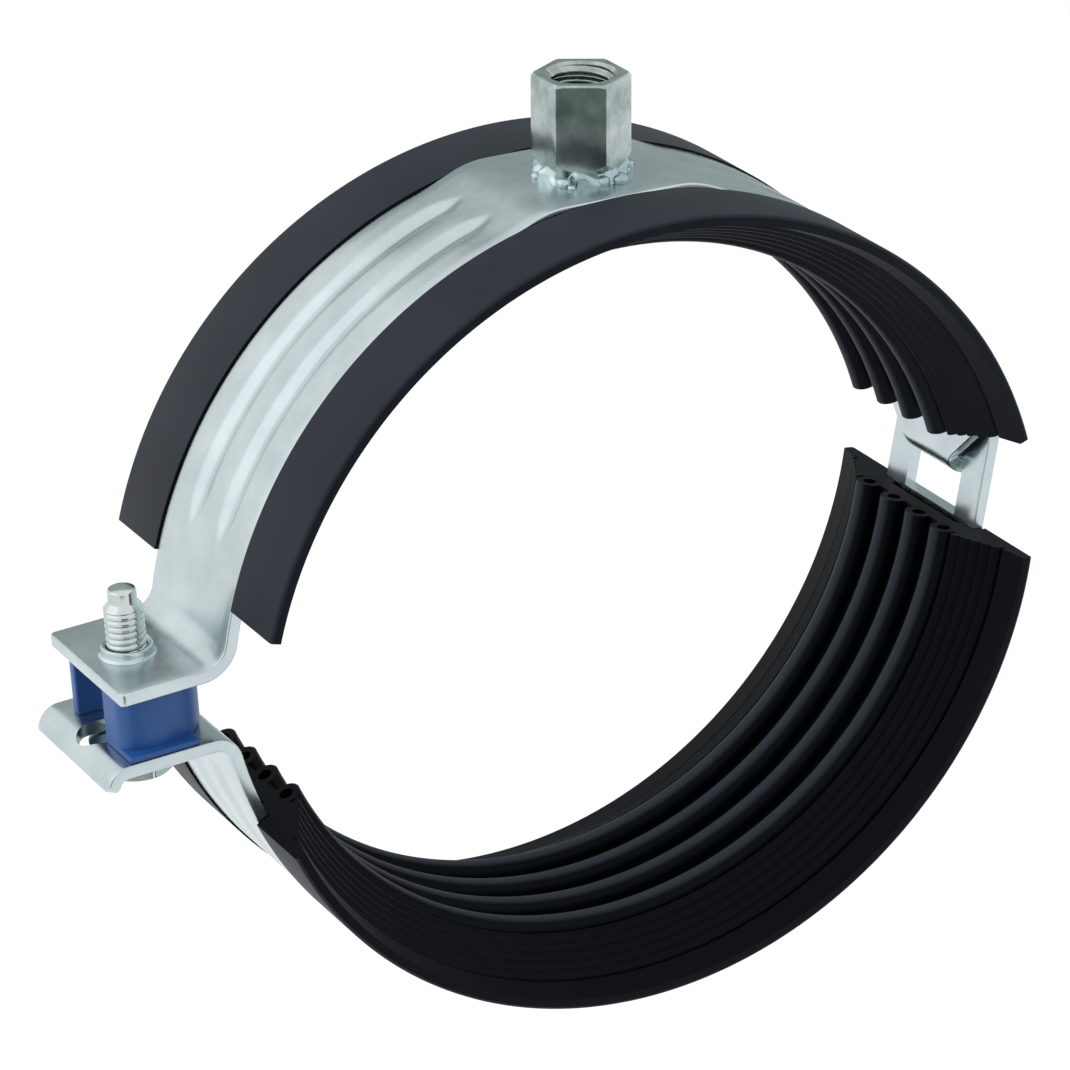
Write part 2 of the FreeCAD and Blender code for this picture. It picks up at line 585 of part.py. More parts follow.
def mirrored(points):
    """The same half on the other side, in the order that goes on round the outline."""
    flipped = []
    for index in reversed(range(len(points))):
        bend = points[index - 1][2:] if index else ()
        flipped.append((points[index][0], "0 - (%s)" % points[index][1]) + bend)
    return flipped


def liner(label, x, z, middle):
    """Rubber liner: ribbed channel section with hollow ribs, bent round one half of the ring."""
    body = start_body(label)
    section = start_sketch(body, label + "_section", "XY_Plane")
    half = liner_half()
    outline(section, half + mirrored(half))
    for step in range(RIBS):
        rib = "rib_apart * %.1f" % (step - (RIBS - 1) / 2)
        corners = [360 * side / CHAMBER_SIDES for side in range(CHAMBER_SIDES)]
        outline(section, [("crest_radius + chamber_deep + chamber_radius * cos(%g)" % angle,
                           "%s + chamber_radius * sin(%g)" % (rib, angle)) for angle in corners])
    turn = spin(body, "Revolution", label + "_turn", section, "liner_angle")
    turn.Midplane = True
    place(body, x, z, "0 - (%s)" % middle)


def hexagon(sketch, flats):
    """Hexagon about the origin with two faces square to X."""
    corner = "%s / sqrt(3)" % flats
    half = "%s / 2" % flats
    points = [("0", corner), ("0 - " + half, corner + " / 2"), ("0 - " + half, "0 - %s / 2" % corner)]
    points += [("0", "0 - " + corner), (half, "0 - %s / 2" % corner), (half, corner + " / 2")]
    return outline(sketch, points)


def chamfer_hexagon(body, name, flats, face, height, up):
    """Turn the corners off one end of a hexagon, outside the radius of its flat face."""
    rise = "(%s - %s) * tan(chamfer_angle)" % (flats, face)
    end = "%s %s %s" % (height, "-" if up else "+", rise)
    corners = start_sketch(body, name + "_outline", "XZ_Plane")
    outline(corners, [(face, height), (flats, end), (flats, height)])
    spin(body, "Groove", name, corners)


def hanger_nut():
    """Welded hexagon nut with an M10 thread above an M8 one, and the weld at its foot."""
    body = start_body("hanger_nut")
    foot = "pad_height + nut_lift"
    top = foot + " + nut_high"
    hexagon_outline = start_sketch(body, "nut_outline", "XY_Plane")
    bind(hexagon_outline, "AttachmentOffset.Base.z", foot)
    extrude(body, "Pad", "nut_hexagon", hexagon(hexagon_outline, "nut_flats"), "nut_high", "One side")
    chamfer_hexagon(body, "nut_top", "nut_flats", "nut_top_face", top, True)
    chamfer_hexagon(body, "nut_foot", "nut_flats", "nut_low_face", foot, False)
    weld = body.newObject("PartDesign::AdditiveCylinder", "weld")
    bind(weld, "Placement.Base.z", "pad_height")
    bind(weld, "Radius", "weld_radius")
    bind(weld, "Height", "nut_lift + nut_high / 2")
    bore = start_sketch(body, "bore_outline", "XZ_Plane")
    step = "%s - bore_step" % top
    outline(bore, [("0", "pad_height"), ("bore_narrow", "pad_height"), ("bore_narrow", step),
                   ("bore_wide", step), ("bore_wide", "%s - bore_mouth" % top),
                   ("bore_wide + bore_mouth", top), ("0", top)])
    spin(body, "Groove", "bore", bore)


def clamp_screw():
    """M6 screw with hexagon head and dog point, its axis square to the ears."""
    body = start_body("clamp_screw")
    seat = "0 - strip_thick * 2 - ear_gap - seat_gap - washer_thick - head_gap"
    hexagon_outline = start_sketch(body, "head_outline", "XY_Plane")
    bind(hexagon_outline, "AttachmentOffset.Base.z", "%s - head_high" % seat)
    extrude(body, "Pad", "head", hexagon(hexagon_outline, "head_flats"), "head_high", "One side")
    chamfer_hexagon(body, "head_end", "head_flats", "head_face", "%s - head_high" % seat, False)
    shank = start_sketch(body, "shank_outline", "XZ_Plane")
    outline(shank, [("0", seat), ("screw_radius", seat), ("screw_radius", "screw_full"),
                    ("dog_radius", "screw_full + screw_cone"),
                    ("dog_radius", "screw_full + screw_cone + dog_long"),
                    ("0", "screw_full + screw_cone + dog_long")])
    spin(body, "Revolution", "shank", shank)
    place(body, *tilted("0", "0"), "0 - ear_angle")


def screw_washer():
    """Washer held between the screw's head and the lower ear."""
    body = start_body("screw_washer")
    section = start_sketch(body, "washer_section", "XZ_Plane")
    top = "0 - strip_thick * 2 - ear_gap - seat_gap"
    rectangle(section, "screw_radius + washer_play", "washer_radius", top + " - washer_thick", top)
    spin(body, "Revolution", "washer_ring", section)
    place(body, *tilted("0", "0"), "0 - ear_angle")


def spacer():
    """Plastic spacer between the ears, open towards the outer end, with a flange on the lower ear."""
    body = start_body("spacer")
    floor = "0 - strip_thick - ear_gap"
    block = start_sketch(body, "block_outline", "XY_Plane")
    flange = start_sketch(body, "flange_outline", "XY_Plane")
    mouth = start_sketch(body, "mouth_outline", "XY_Plane")
    for sketch in (block, flange, mouth):
        bind(sketch, "AttachmentOffset.Base.z", floor)
    corner = "sqrt(spacer_radius ^ 2 - (spacer_cut - spacer_back) ^ 2)"
    outline(block, [("0 - spacer_cut", "0 - " + corner, side_arc("spacer_radius")),
                    ("spacer_radius - spacer_back", "0", side_arc("spacer_radius")),
                    ("0 - spacer_cut", corner)])
    extrude(body, "Pad", "block", block, "ear_gap - spacer_play", "One side")
    middle = "%s + (ear_gap - spacer_play) / 2" % floor
    arms = [spot("0 - spacer_cut", "(%s) * %s" % (sign, corner), middle) for sign in ("1", "0 - 1")]
    round_edges(body, "arm_corners", arms, Vector(0, 0, 1), "spacer_corner")
    edge = "strip_wide / 2 - flange_inset"
    rectangle(flange, "0 - flange_left", "flange_right", "0 - (%s)" % edge, edge)
    extrude(body, "Pad", "flange", flange, "flange_thick", "One side")
    half = "mouth_wide / 2"
    outline(mouth, [("0 - spacer_radius", "0 - " + half), ("0", "0 - " + half, half_arc("0")),
                    ("0", half), ("0 - spacer_radius", half)])
    extrude(body, "Pocket", "mouth", mouth, "ear_gap * 3")
    place(body, *tilted("0", "0"), "0 - ear_angle")


def check_and_write():
    """Stop if anything failed, then write each body to its own file."""
    doc.recompute()
    for thing in doc.Objects:
        if "Invalid" in thing.State or "Error" in thing.State:
            raise RuntimeError("%s: %s" % (thing.Label, thing.State))
    os.makedirs("parts", exist_ok=True)
    for body in doc.findObjects("PartDesign::Body"):
        shape = body.Shape
        if shape.isNull() or not shape.isValid() or len(shape.Solids) != 1:
            raise RuntimeError("%s is not one sound solid" % body.Label)
        shape.exportStep("parts/%s.step" % body.Label)
        print("%s %.2f cm3" % (body.Label, shape.Volume / 1000))


upper_band()
lower_band()
liner("upper_liner", "0", "0", "upper_middle_angle")
liner("lower_liner", "lower_x", "lower_z", "lower_middle_angle")
hanger_nut()
clamp_screw()
screw_washer()
spacer()
check_and_write()
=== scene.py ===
# %% [markdown]
# # A rubber lined pipe clamp
# The real clamp is two bands of zinc plated steel strip, hinged at one side and drawn together by a
# screw at the other, with a ribbed rubber channel on each half and a long nut welded on top. The
# solids come from the frame, at their real size. This lesson draws the pressed, extruded and
# threaded pieces again at those sizes, with the soft folds, round ribs, threads and weld that the
# solids leave plain, gives each its finish, and sets up the studio. Everything is in metres, in the
# frame's own axes: X from the screw to the hinge, Y along the pipe, Z up to the nut.

# %% Load the frame
import json
import math

import bmesh
import bpy
import numpy as np
from mathutils import Matrix, Vector
from mathutils.geometry import tessellate_polygon


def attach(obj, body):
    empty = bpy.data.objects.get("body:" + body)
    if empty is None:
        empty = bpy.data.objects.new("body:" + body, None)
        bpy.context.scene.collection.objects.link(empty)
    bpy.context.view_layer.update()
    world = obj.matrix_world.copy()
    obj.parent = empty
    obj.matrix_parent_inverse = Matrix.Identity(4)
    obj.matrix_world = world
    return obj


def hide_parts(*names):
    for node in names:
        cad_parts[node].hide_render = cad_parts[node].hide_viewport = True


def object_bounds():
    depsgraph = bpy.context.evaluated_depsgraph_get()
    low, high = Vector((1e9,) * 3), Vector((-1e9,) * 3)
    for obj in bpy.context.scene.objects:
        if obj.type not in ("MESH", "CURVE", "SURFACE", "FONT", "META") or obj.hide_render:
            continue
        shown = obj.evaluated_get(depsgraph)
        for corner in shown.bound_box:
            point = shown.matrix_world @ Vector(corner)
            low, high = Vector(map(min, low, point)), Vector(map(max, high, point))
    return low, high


MM = 0.001
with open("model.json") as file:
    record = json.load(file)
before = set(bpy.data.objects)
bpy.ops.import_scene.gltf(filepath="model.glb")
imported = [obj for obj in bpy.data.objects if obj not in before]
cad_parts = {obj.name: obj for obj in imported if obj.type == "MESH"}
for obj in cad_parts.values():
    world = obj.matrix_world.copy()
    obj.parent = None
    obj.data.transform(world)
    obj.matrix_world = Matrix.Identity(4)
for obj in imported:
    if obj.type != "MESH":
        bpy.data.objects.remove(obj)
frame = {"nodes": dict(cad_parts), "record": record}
solid_box = [[float(value) for value in corner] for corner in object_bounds()]
print("nodes:", sorted(frame["nodes"]))

# %% [markdown]
# A colour picked from a photo is an sRGB value, but shaders work with linear light. One function
# turns the written hex into linear, so that every colour below reads as it would in a paint
# program.

# %% Colours
def colour(code):
    """Linear colour from an sRGB hex code."""
    channels = [int(code[place:place + 2], 16) / 255 for place in (1, 3, 5)]
    linear = [c / 12.92 if c <= 0.04045 else ((c + 0.055) / 1.055) ** 2.4 for c in channels]
    return (*linear, 1.0)


def grey(level):
    """Neutral colour of a linear level."""
    return (level, level, level, 1.0)


print("white paper is", colour("#FFFFFF"))

# %% [markdown]
# A material is a small tree of nodes. Setting one up by hand takes a line for each socket and each
# link, so one helper adds a node with its settings and links, and each tree below reads from top to
# bottom like a list.

# %% Node helper
def node(tree, kind, links=None, **settings):
    """Add a node, set its properties and sockets, and link sockets given as name: (node, output)."""
    made = tree.nodes.new(kind)
    for name, value in settings.items():
        if hasattr(made, name) and name not in made.inputs:
            setattr(made, name, value)
        else:
            made.inputs[name].default_value = value
    for name, (source, output) in (links or {}).items():
        tree.links.new(source.outputs[output], made.inputs[name])
    return made


def finish_named(name):
    """New material with an empty tree to build on."""
    material = bpy.data.materials.new(name)
    material.use_nodes = True
    material.node_tree.nodes.clear()
    print("material", name)
    return material, material.node_tree


def ramp(tree, source, output, stops):
    """Colour ramp through (position, colour) stops, driven by another node's output."""
    made = node(tree, "ShaderNodeValToRGB", {"Fac": (source, output)})
    elements = made.color_ramp.elements
    while len(elements) < len(stops):
        elements.new(0.5)
    for element, (position, value) in zip(elements, stops):
        element.position = position
        element.color = value
    return made

# %% [markdown]
# The bands are cold rolled strip, bent and pressed, then electroplated with bright zinc and
# passivated. The plating is a metal with a cool, pale grey colour and a soft gloss. Rolling leaves
# very fine lines along the strip, and handling leaves faint cloudy patches. Clouds here shift the
# tone and the gloss a little, and the grain only shifts the height. Real rolling lines are finer
# than a pixel, so they are drawn 0.35 mm apart, coarse enough to show. The nut, the screw and the
# weld have the same plating with a grain of their own: the nut's runs up its drawn bar, and the
# weld's is bluish where the steel burnt.

# %% Zinc plated strip
GRAIN_MM = 0.35
GRAIN_HIGH_MM = 0.02
CLOUD_MM = 9.0
CLOUD_RANGE = (0.25, 0.75)
CLOUD_GLOSS = (0.85, 1.25)
ALONG_STRIP = (1.0, 0.08, 1.0)
ALONG_NUT = (1.0, 1.0, 0.2)
EVERY_WAY = (1.0, 1.0, 1.0)


def zinc_plated(name, pale, deep, roughness, grain_mm, along, cloud_mm=CLOUD_MM):
    """Bright zinc: cloudy gloss, with fine lines stretched along the scale's small axis."""
    material, tree = finish_named(name)
    place = node(tree, "ShaderNodeTexCoord")
    cloud = node(tree, "ShaderNodeTexNoise", {"Vector": (place, "Object")},
                 Scale=1 / (cloud_mm * MM), Detail=4.0, Roughness=0.6)
    stretch = node(tree, "ShaderNodeMapping", {"Vector": (place, "Object")}, Scale=along)
    grain = node(tree, "ShaderNodeTexNoise", {"Vector": (stretch, "Vector")},
                 Scale=1 / (grain_mm * MM), Detail=3.0, Roughness=0.55)
    tone = ramp(tree, cloud, "Fac", [(0.3, colour(deep)), (0.7, colour(pale))])
    gloss = node(tree, "ShaderNodeMapRange", {"Value": (cloud, "Fac")})
    gloss.inputs["From Min"].default_value = CLOUD_RANGE[0]
    gloss.inputs["From Max"].default_value = CLOUD_RANGE[1]
    gloss.inputs["To Min"].default_value = roughness * CLOUD_GLOSS[0]
    gloss.inputs["To Max"].default_value = roughness * CLOUD_GLOSS[1]
    bump = node(tree, "ShaderNodeBump", {"Height": (grain, "Fac")},
                Strength=0.12, Distance=GRAIN_HIGH_MM * MM)
    links = {"Base Color": (tone, "Color"), "Roughness": (gloss, "Result"), "Normal": (bump, "Normal")}
    shader = node(tree, "ShaderNodeBsdfPrincipled", links, Metallic=1.0)
    node(tree, "ShaderNodeOutputMaterial", {"Surface": (shader, "BSDF")})
    return material


zinc_strip = zinc_plated("zinc_plated_strip", "#CDD8DA", "#BBC7CA", 0.25, GRAIN_MM, ALONG_STRIP)
zinc_nut = zinc_plated("zinc_plated_nut", "#BDC8C6", "#8B9997", 0.17, 0.6, ALONG_NUT, cloud_mm=3.5)
zinc_fastener = zinc_plated("zinc_plated_fastener", "#D3DBDA", "#B7C1C1", 0.16, 0.4, EVERY_WAY)
weld_metal = zinc_plated("zinc_plated_weld", "#D4E4E4", "#7C969A", 0.2, 0.5, EVERY_WAY)

# %% [markdown]
# The liners are extruded black EPDM rubber, cut to length and snapped over the bands. Extruded
# rubber is smooth but not glossy: it has a wide, weak sheen, a very fine grit and a faint cloudy
# bloom. The rubber outside is painted lighter, a dark slate grey, as painted light where light
# grazes the flanges. The upper inside stays near black, the lower inside is painted darker as
# painted shade, and the crests of the large ribs get a painted highlight, a little paler. So there
# is one rubber for the outside and one for each inside, which paints its crest highlight by the
# crests' distance from the ring's centre. Real grit is too fine to show, so it is drawn at half a
# millimetre.

# %% Extruded rubber
RUBBER_GRIT_MM = 0.5
GRIT_HIGH_MM = 0.03
BLOOM_MM = 14.0
UPPER_CENTRE = (0.0, 0.0)
LOWER_CENTRE = (-1.0, 8.9)
CREST_RADIUS = 59.2
# The crests' paler tone is a painted highlight, which fades out over this reach from the crest radius.
CREST_HIGHLIGHT_FADE = (0.12, 0.5)
PAINTED_CREST_HIGHLIGHT = "#2F353C"


def extruded_rubber(name, pale, deep, specular, centre=None):
    """EPDM rubber. With a ring's centre, its rib crests get a painted highlight, paler than the valleys.
    """
    material, tree = finish_named(name)
    place = node(tree, "ShaderNodeTexCoord")
    grit = node(tree, "ShaderNodeTexNoise", {"Vector": (place, "Object")},
                Scale=1 / (RUBBER_GRIT_MM * MM), Detail=3.0, Roughness=0.6)
    bloom = node(tree, "ShaderNodeTexNoise", {"Vector": (place, "Object")},
                 Scale=1 / (BLOOM_MM * MM), Detail=3.0, Roughness=0.5)
    tone = ramp(tree, bloom, "Fac", [(0.3, colour(deep)), (0.75, colour(pale))])
    painted = (tone, "Color")
    if centre is not None:
        from_centre = node(tree, "ShaderNodeVectorMath", {0: (place, "Object")}, operation="SUBTRACT")
        from_centre.inputs[1].default_value = (centre[0] * MM, 0, centre[1] * MM)
        flat = node(tree, "ShaderNodeVectorMath", {0: (from_centre, "Vector")}, operation="MULTIPLY")
        flat.inputs[1].default_value = (1, 0, 1)
        radius = node(tree, "ShaderNodeVectorMath", {0: (flat, "Vector")}, operation="LENGTH")
        # Painted highlight: the ribs' crests, nearest the ring's centre, take the crest tone, which
        # fades into the bloomed tone farther out.
        reach = node(tree, "ShaderNodeMapRange", {"Value": (radius, "Value")})
        reach.inputs["From Min"].default_value = (CREST_RADIUS + CREST_HIGHLIGHT_FADE[0]) * MM
        reach.inputs["From Max"].default_value = (CREST_RADIUS + CREST_HIGHLIGHT_FADE[1]) * MM
        mixed = node(tree, "ShaderNodeMixRGB", {"Fac": (reach, "Result"), "Color2": (tone, "Color")},
                     Color1=colour(PAINTED_CREST_HIGHLIGHT))
        painted = (mixed, "Color")
    bump = node(tree, "ShaderNodeBump", {"Height": (grit, "Fac")},
                Strength=0.15, Distance=GRIT_HIGH_MM * MM)
    shader = node(tree, "ShaderNodeBsdfPrincipled", {"Base Color": painted, "Normal": (bump, "Normal")},
                  Roughness=0.50)
    shader.inputs["Specular IOR Level"].default_value = specular
    node(tree, "ShaderNodeOutputMaterial", {"Surface": (shader, "BSDF")})
    return material


# The outside copy is painted lighter as painted light, and the lower inside copy is painted darker as
# painted shade.
rubber_lit_outside = extruded_rubber("rubber_lit_outside", "#23282F", "#1C2027", 0.15)
rubber_upper = extruded_rubber("rubber_inside_upper", "#171C24", "#10141A", 0.08, UPPER_CENTRE)
rubber_shaded_lower = extruded_rubber("rubber_inside_lower_shaded", "#05070E", "#03050A", 0.08, LOWER_CENTRE)

# %% [markdown]
# The spacer between the ears is moulded polypropylene in a strong blue. Moulded plastic has an even
# colour right through and a soft gloss, broken by a very fine spark texture from the mould, which
# is drawn at a quarter of a millimetre. The texture is a bump with a small shift in tone, because
# the plastic has no pattern of its own.

# %% Moulded blue plastic
SPARK_MM = 0.25
SPARK_HIGH_MM = 0.03


def moulded_plastic(name, pale, deep):
    """Plastic coloured right through, with the mould's spark texture."""
    material, tree = finish_named(name)
    place = node(tree, "ShaderNodeTexCoord")
    spark = node(tree, "ShaderNodeTexNoise", {"Vector": (place, "Object")},
                 Scale=1 / (SPARK_MM * MM), Detail=2.0, Roughness=0.5)
    tone = ramp(tree, spark, "Fac", [(0.35, colour(deep)), (0.65, colour(pale))])
    bump = node(tree, "ShaderNodeBump", {"Height": (spark, "Fac")},
                Strength=0.2, Distance=SPARK_HIGH_MM * MM)
    links = {"Base Color": (tone, "Color"), "Normal": (bump, "Normal")}
    shader = node(tree, "ShaderNodeBsdfPrincipled", links, Roughness=0.42, IOR=1.49)
    node(tree, "ShaderNodeOutputMaterial", {"Surface": (shader, "BSDF")})
    return material


blue_plastic = moulded_plastic("moulded_blue_polypropylene", "#245596", "#1E4C89")

# %% [markdown]
# ## The shapes that the press, the die and the mould give
# The frame's solids have every size that matters, but a press leaves soft folds, a rolling die
# leaves a thread and an extruder leaves round ribs. These pieces are made again here at the same
# sizes, from the same few numbers in millimetres, and each one stands for its solid. All of them
# are skins drawn over a row of rings, so one helper joins the rings with quads and another makes
# one closed mesh of the result.

# %% Helpers for skins
SAME_PLACE = 0.0005


def skin(rings):
    """Points and quads over a row of closed rings, given as an array (ring, place round it, xyz)."""
    count, around = rings.shape[:2]
    first = np.arange(around)
    after = (first + 1) % around
    faces = []
    for ring in range(count - 1):
        low, high = ring * around, (ring + 1) * around
        faces += np.column_stack((low + first, low + after, high + after, high + first)).tolist()
    return rings.reshape(-1, 3).tolist(), faces


def solid(name, *parts):
    """One closed mesh from parts of (points, faces) in millimetres."""
    points, faces = [], []
    for part_points, part_faces in parts:
        offset = len(points)
        points += part_points
        faces += [[corner + offset for corner in face] for face in part_faces]
    mesh = bpy.data.meshes.new(name)
    mesh.from_pydata((np.array(points) * MM).tolist(), [], faces)
    surface = bmesh.new()
    surface.from_mesh(mesh)
    bmesh.ops.remove_doubles(surface, verts=surface.verts, dist=SAME_PLACE * MM)
    bmesh.ops.recalc_face_normals(surface, faces=surface.faces)
    surface.to_mesh(mesh)
    surface.free()
    made = bpy.data.objects.new(name, mesh)
    bpy.context.scene.collection.objects.link(made)
    return made

# %% [markdown]
# Each piece is finished in the same way: it gets its materials, smooth shading that breaks at its
# creases and the body that it moves with, and the solid that it stands for is hidden.

# %% Finish a piece
def dress(made, materials, body, stands_for=None, crease=34):
    """Finish a piece, keep its creases sharp, and let it ride on its body."""
    for material in materials:
        made.data.materials.append(material)
    made.data.shade_smooth()
    made.data.set_sharp_from_angle(angle=math.radians(crease))
    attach(made, body)
    if stands_for:
        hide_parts(stands_for)
    print(made.name, len(made.data.polygons), "faces")
    return made

# %% [markdown]
# Holes are punched through the strip after it is bent. A boolean does that too: it takes a second
# solid away from the first, and its exact solver leaves clean edges on these curved skins. The
# result is kept as a plain mesh.

# %% Punch a hole
def cut_through(made, cutter):
    """Cut a hole with another solid, which is then dropped."""
    hole = made.modifiers.new("hole", "BOOLEAN")
    hole.operation = "DIFFERENCE"
    hole.solver = "EXACT"
    hole.object = cutter
    graph = bpy.context.evaluated_depsgraph_get()
    mesh = bpy.data.meshes.new_from_object(made.evaluated_get(graph))
    made.modifiers.remove(hole)
    made.data = mesh
    bpy.data.objects.remove(cutter)

# %% [markdown]
# Both bands start as the same flat strip, so each is drawn as a line in the side view: straight
# runs, tangent bends and the big arc. The line is the middle of the strip's thickness, and the
# strip's two faces lie half a thickness to either side of it. The two ears tilt by three degrees.
# The hinge's axis is read from the record, so that the drawn hinge turns about the same point as
# the model.

# %% Sizes of the strip and places of the joints
STRIP_THICK = 2.0
STRIP_WIDE = 25.0
RING_RADIUS = 67.7
MIDDLE_RADIUS = RING_RADIUS - STRIP_THICK / 2
EAR_TILT = 3.0
SCREW_AT = np.array((-76.85, 7.2))
EAR_GAP = 9.6
EAR_LONG = 7.0
UPPER_BEND = 4.0
LOWER_BEND = 2.5
joints = {joint["name"]: joint for joint in frame["record"]["behaviour"]["joints"]}
PIVOT = np.array((joints["ring_hinge"]["pos_m"][0], joints["ring_hinge"]["pos_m"][2])) / MM

along_ear = np.array((math.cos(math.radians(EAR_TILT)), math.sin(math.radians(EAR_TILT))))
above_ear = np.array((-along_ear[1], along_ear[0]))
low_ear_at = SCREW_AT - above_ear * (STRIP_THICK + EAR_GAP)
print("pivot", PIVOT.round(2), "lower ear", low_ear_at.round(2))

# %% [markdown]
# A few helpers draw such a line. Arcs are divided into steps of about a millimetre, runs are joined
# end to end, and a corner that a press leaves soft is rounded with a curve that leaves both of its
# sides smoothly.

# %% Arcs and runs in the side view
FEWEST_POINTS = 8
SOFT_POINTS = 9
TOUCHING = 0.02


def heading(vector):
    """Direction of a vector in degrees, from +X towards +Z."""
    return math.degrees(math.atan2(vector[1], vector[0]))


def polar(centre, radius, degrees):
    """Point, or points, at a radius and an angle from a centre."""
    angle = np.radians(degrees)
    return np.stack((centre[0] + radius * np.cos(angle), centre[1] + radius * np.sin(angle)), axis=-1)


def arc(centre, radius, start, end, step=1.0):
    """Points along an arc, in degrees from +X towards +Z."""
    count = max(FEWEST_POINTS, round(abs(math.radians(end - start)) * radius / step))
    return polar(centre, radius, np.linspace(start, end, count))


def joined(*runs):
    """One line through runs that meet, with long straight stretches divided."""
    corners = np.concatenate(runs)
    line = [corners[0]]
    for corner in corners[1:]:
        gap = np.linalg.norm(corner - line[-1])
        if gap > TOUCHING:
            line += list(np.linspace(line[-1], corner, max(2, math.ceil(gap) + 1))[1:])
    return np.array(line)


def softened(line, corner, reach):
    """Round a corner of the line with a curve that leaves both of its sides smoothly."""
    near = np.flatnonzero(np.linalg.norm(line - corner, axis=1) < reach)
    start, end = line[near[0]], line[near[-1]]
    share = np.linspace(0, 1, SOFT_POINTS)[:, None]
    curve = start * (1 - share) ** 2 + corner * 2 * share * (1 - share) + end * share ** 2
    return np.concatenate((line[:near[0]], curve, line[near[-1] + 1:]))

# %% [markdown]
# The bend between an ear and the ring touches both. Its centre lies one bend's radius above the
# ear's face, and one bend's radius outside the ring, and that gives a square root to solve.

# %% Bends beside the ears
def bend_centre(ring_centre, on_ear, towards, radius):
    """Centre of the bend that touches an ear's face and the ring's outside."""
    start = on_ear + towards * radius - ring_centre
    run = start @ along_ear
    back = math.sqrt(run ** 2 - start @ start + (RING_RADIUS + radius) ** 2)
    return ring_centre + start - along_ear * (run + back)


upper_bend_at = bend_centre(UPPER_CENTRE, SCREW_AT, above_ear, UPPER_BEND)
lower_bend_at = bend_centre(LOWER_CENTRE, low_ear_at - above_ear * STRIP_THICK, -above_ear, LOWER_BEND)
print("bends at", upper_bend_at.round(2), lower_bend_at.round(2))

# %% [markdown]
# The upper line runs from the ear over the flat under the nut to the hook of the hinge. A Bezier
# curve could do the same, but each bend would need its handles set by hand, and here every run has
# its own real size. The corners at the flat and at the hook are softened afterwards.

# %% Middle line of the upper band
PAD_HALF = 12.5
PAD_RISE = 0.2
PAD_FOOT = 16.8
PAD_SOFT = 3.0
TONGUE_ANGLE = 14.5
TONGUE_SOFT = 1.6
HOOK_RADIUS = 2.0
HOOK_LIP = 3.3
BEND_STEP = 0.4


def upper_line():
    """Middle of the strip from the ear's end to the hook's end."""
    half = STRIP_THICK / 2
    foot = polar(UPPER_CENTRE, RING_RADIUS, 90 - PAD_FOOT)
    slope = math.atan2(RING_RADIUS + PAD_RISE - foot[1], foot[0] - PAD_HALF)
    shoulder = np.array((PAD_HALF - half * math.tan(slope / 2), RING_RADIUS + PAD_RISE - half))
    start = SCREW_AT - above_ear * half - along_ear * EAR_LONG
    hook = HOOK_RADIUS + half
    line = joined(
        start[None],
        arc(upper_bend_at, UPPER_BEND + half, EAR_TILT - 90, heading(-upper_bend_at), BEND_STEP),
        arc(UPPER_CENTRE, MIDDLE_RADIUS, heading(upper_bend_at), 90 + PAD_FOOT),
        (shoulder * (-1, 1))[None], shoulder[None],
        arc(UPPER_CENTRE, MIDDLE_RADIUS, 90 - PAD_FOOT, TONGUE_ANGLE),
        arc(PIVOT, hook, 180, 360, BEND_STEP), (PIVOT + (hook, HOOK_LIP))[None])
    for side in (-1, 1):
        line = softened(line, shoulder * (side, 1), PAD_SOFT)
        line = softened(line, polar(UPPER_CENTRE, MIDDLE_RADIUS, 90 - side * PAD_FOOT), PAD_SOFT)
    return softened(line, polar(UPPER_CENTRE, MIDDLE_RADIUS, TONGUE_ANGLE), TONGUE_SOFT)


print("upper line", len(upper_line()), "points")

# %% [markdown]
# The lower line runs from the ear's lip, which is folded down, round the arc to two straight legs.
# The legs stand on either side of the hook and carry the crossbar that it goes round.

# %% Middle line of the lower band
LIP_START = 6.8
LIP_BEND = 1.5
LIP_ANGLE = 65.0
LIP_LONG = 1.4
LIP_STEP = 0.3
LEG_ANGLE = 10.0
LEG_ABOVE_PIVOT = 5.2


def lower_line():
    """Middle of the strip from the lip's end to the top of the legs."""
    half = STRIP_THICK / 2
    lip_at = low_ear_at - along_ear * LIP_START - above_ear * (STRIP_THICK + LIP_BEND)
    lip_end = 90 + EAR_TILT + LIP_ANGLE
    end = polar(lip_at, LIP_BEND + half, lip_end) + LIP_LONG * polar((0, 0), 1, lip_end + 90)
    ring_from = lower_bend_at - LOWER_CENTRE
    foot = polar(LOWER_CENTRE, MIDDLE_RADIUS, -LEG_ANGLE)
    rise = PIVOT[1] + LEG_ABOVE_PIVOT - foot[1]
    return joined(
        end[None], arc(lip_at, LIP_BEND + half, lip_end, 90 + EAR_TILT, LIP_STEP),
        arc(lower_bend_at, LOWER_BEND + half, 90 + EAR_TILT, heading(-ring_from), BEND_STEP),
        arc(LOWER_CENTRE, MIDDLE_RADIUS, heading(ring_from) % 360, 360 - LEG_ANGLE),
        (foot + (rise * math.tan(math.radians(LEG_ANGLE)), rise))[None])


print("lower line", len(lower_line()), "points")

# %% [markdown]
# Two shallow beads are pressed into each band along its arc, so that the thin strip doesn't fold
# when the screw pulls. A press moves the whole thickness, so both faces take the same push. Across
# the bead the push follows a cosine, which is as soft as a real fold, and at its ends it fades out
# while the bead gets narrower.

# %% Beads and edges of the strip
BEAD_APART = 9.0
BEAD_HALF = 2.8
BEAD_DEEP = 0.6
BEAD_TIP = 0.35
BEAD_POINTS = 15
FLAT_POINTS = 13
EDGE_ROUND = 0.28
EDGE_POINTS = 4


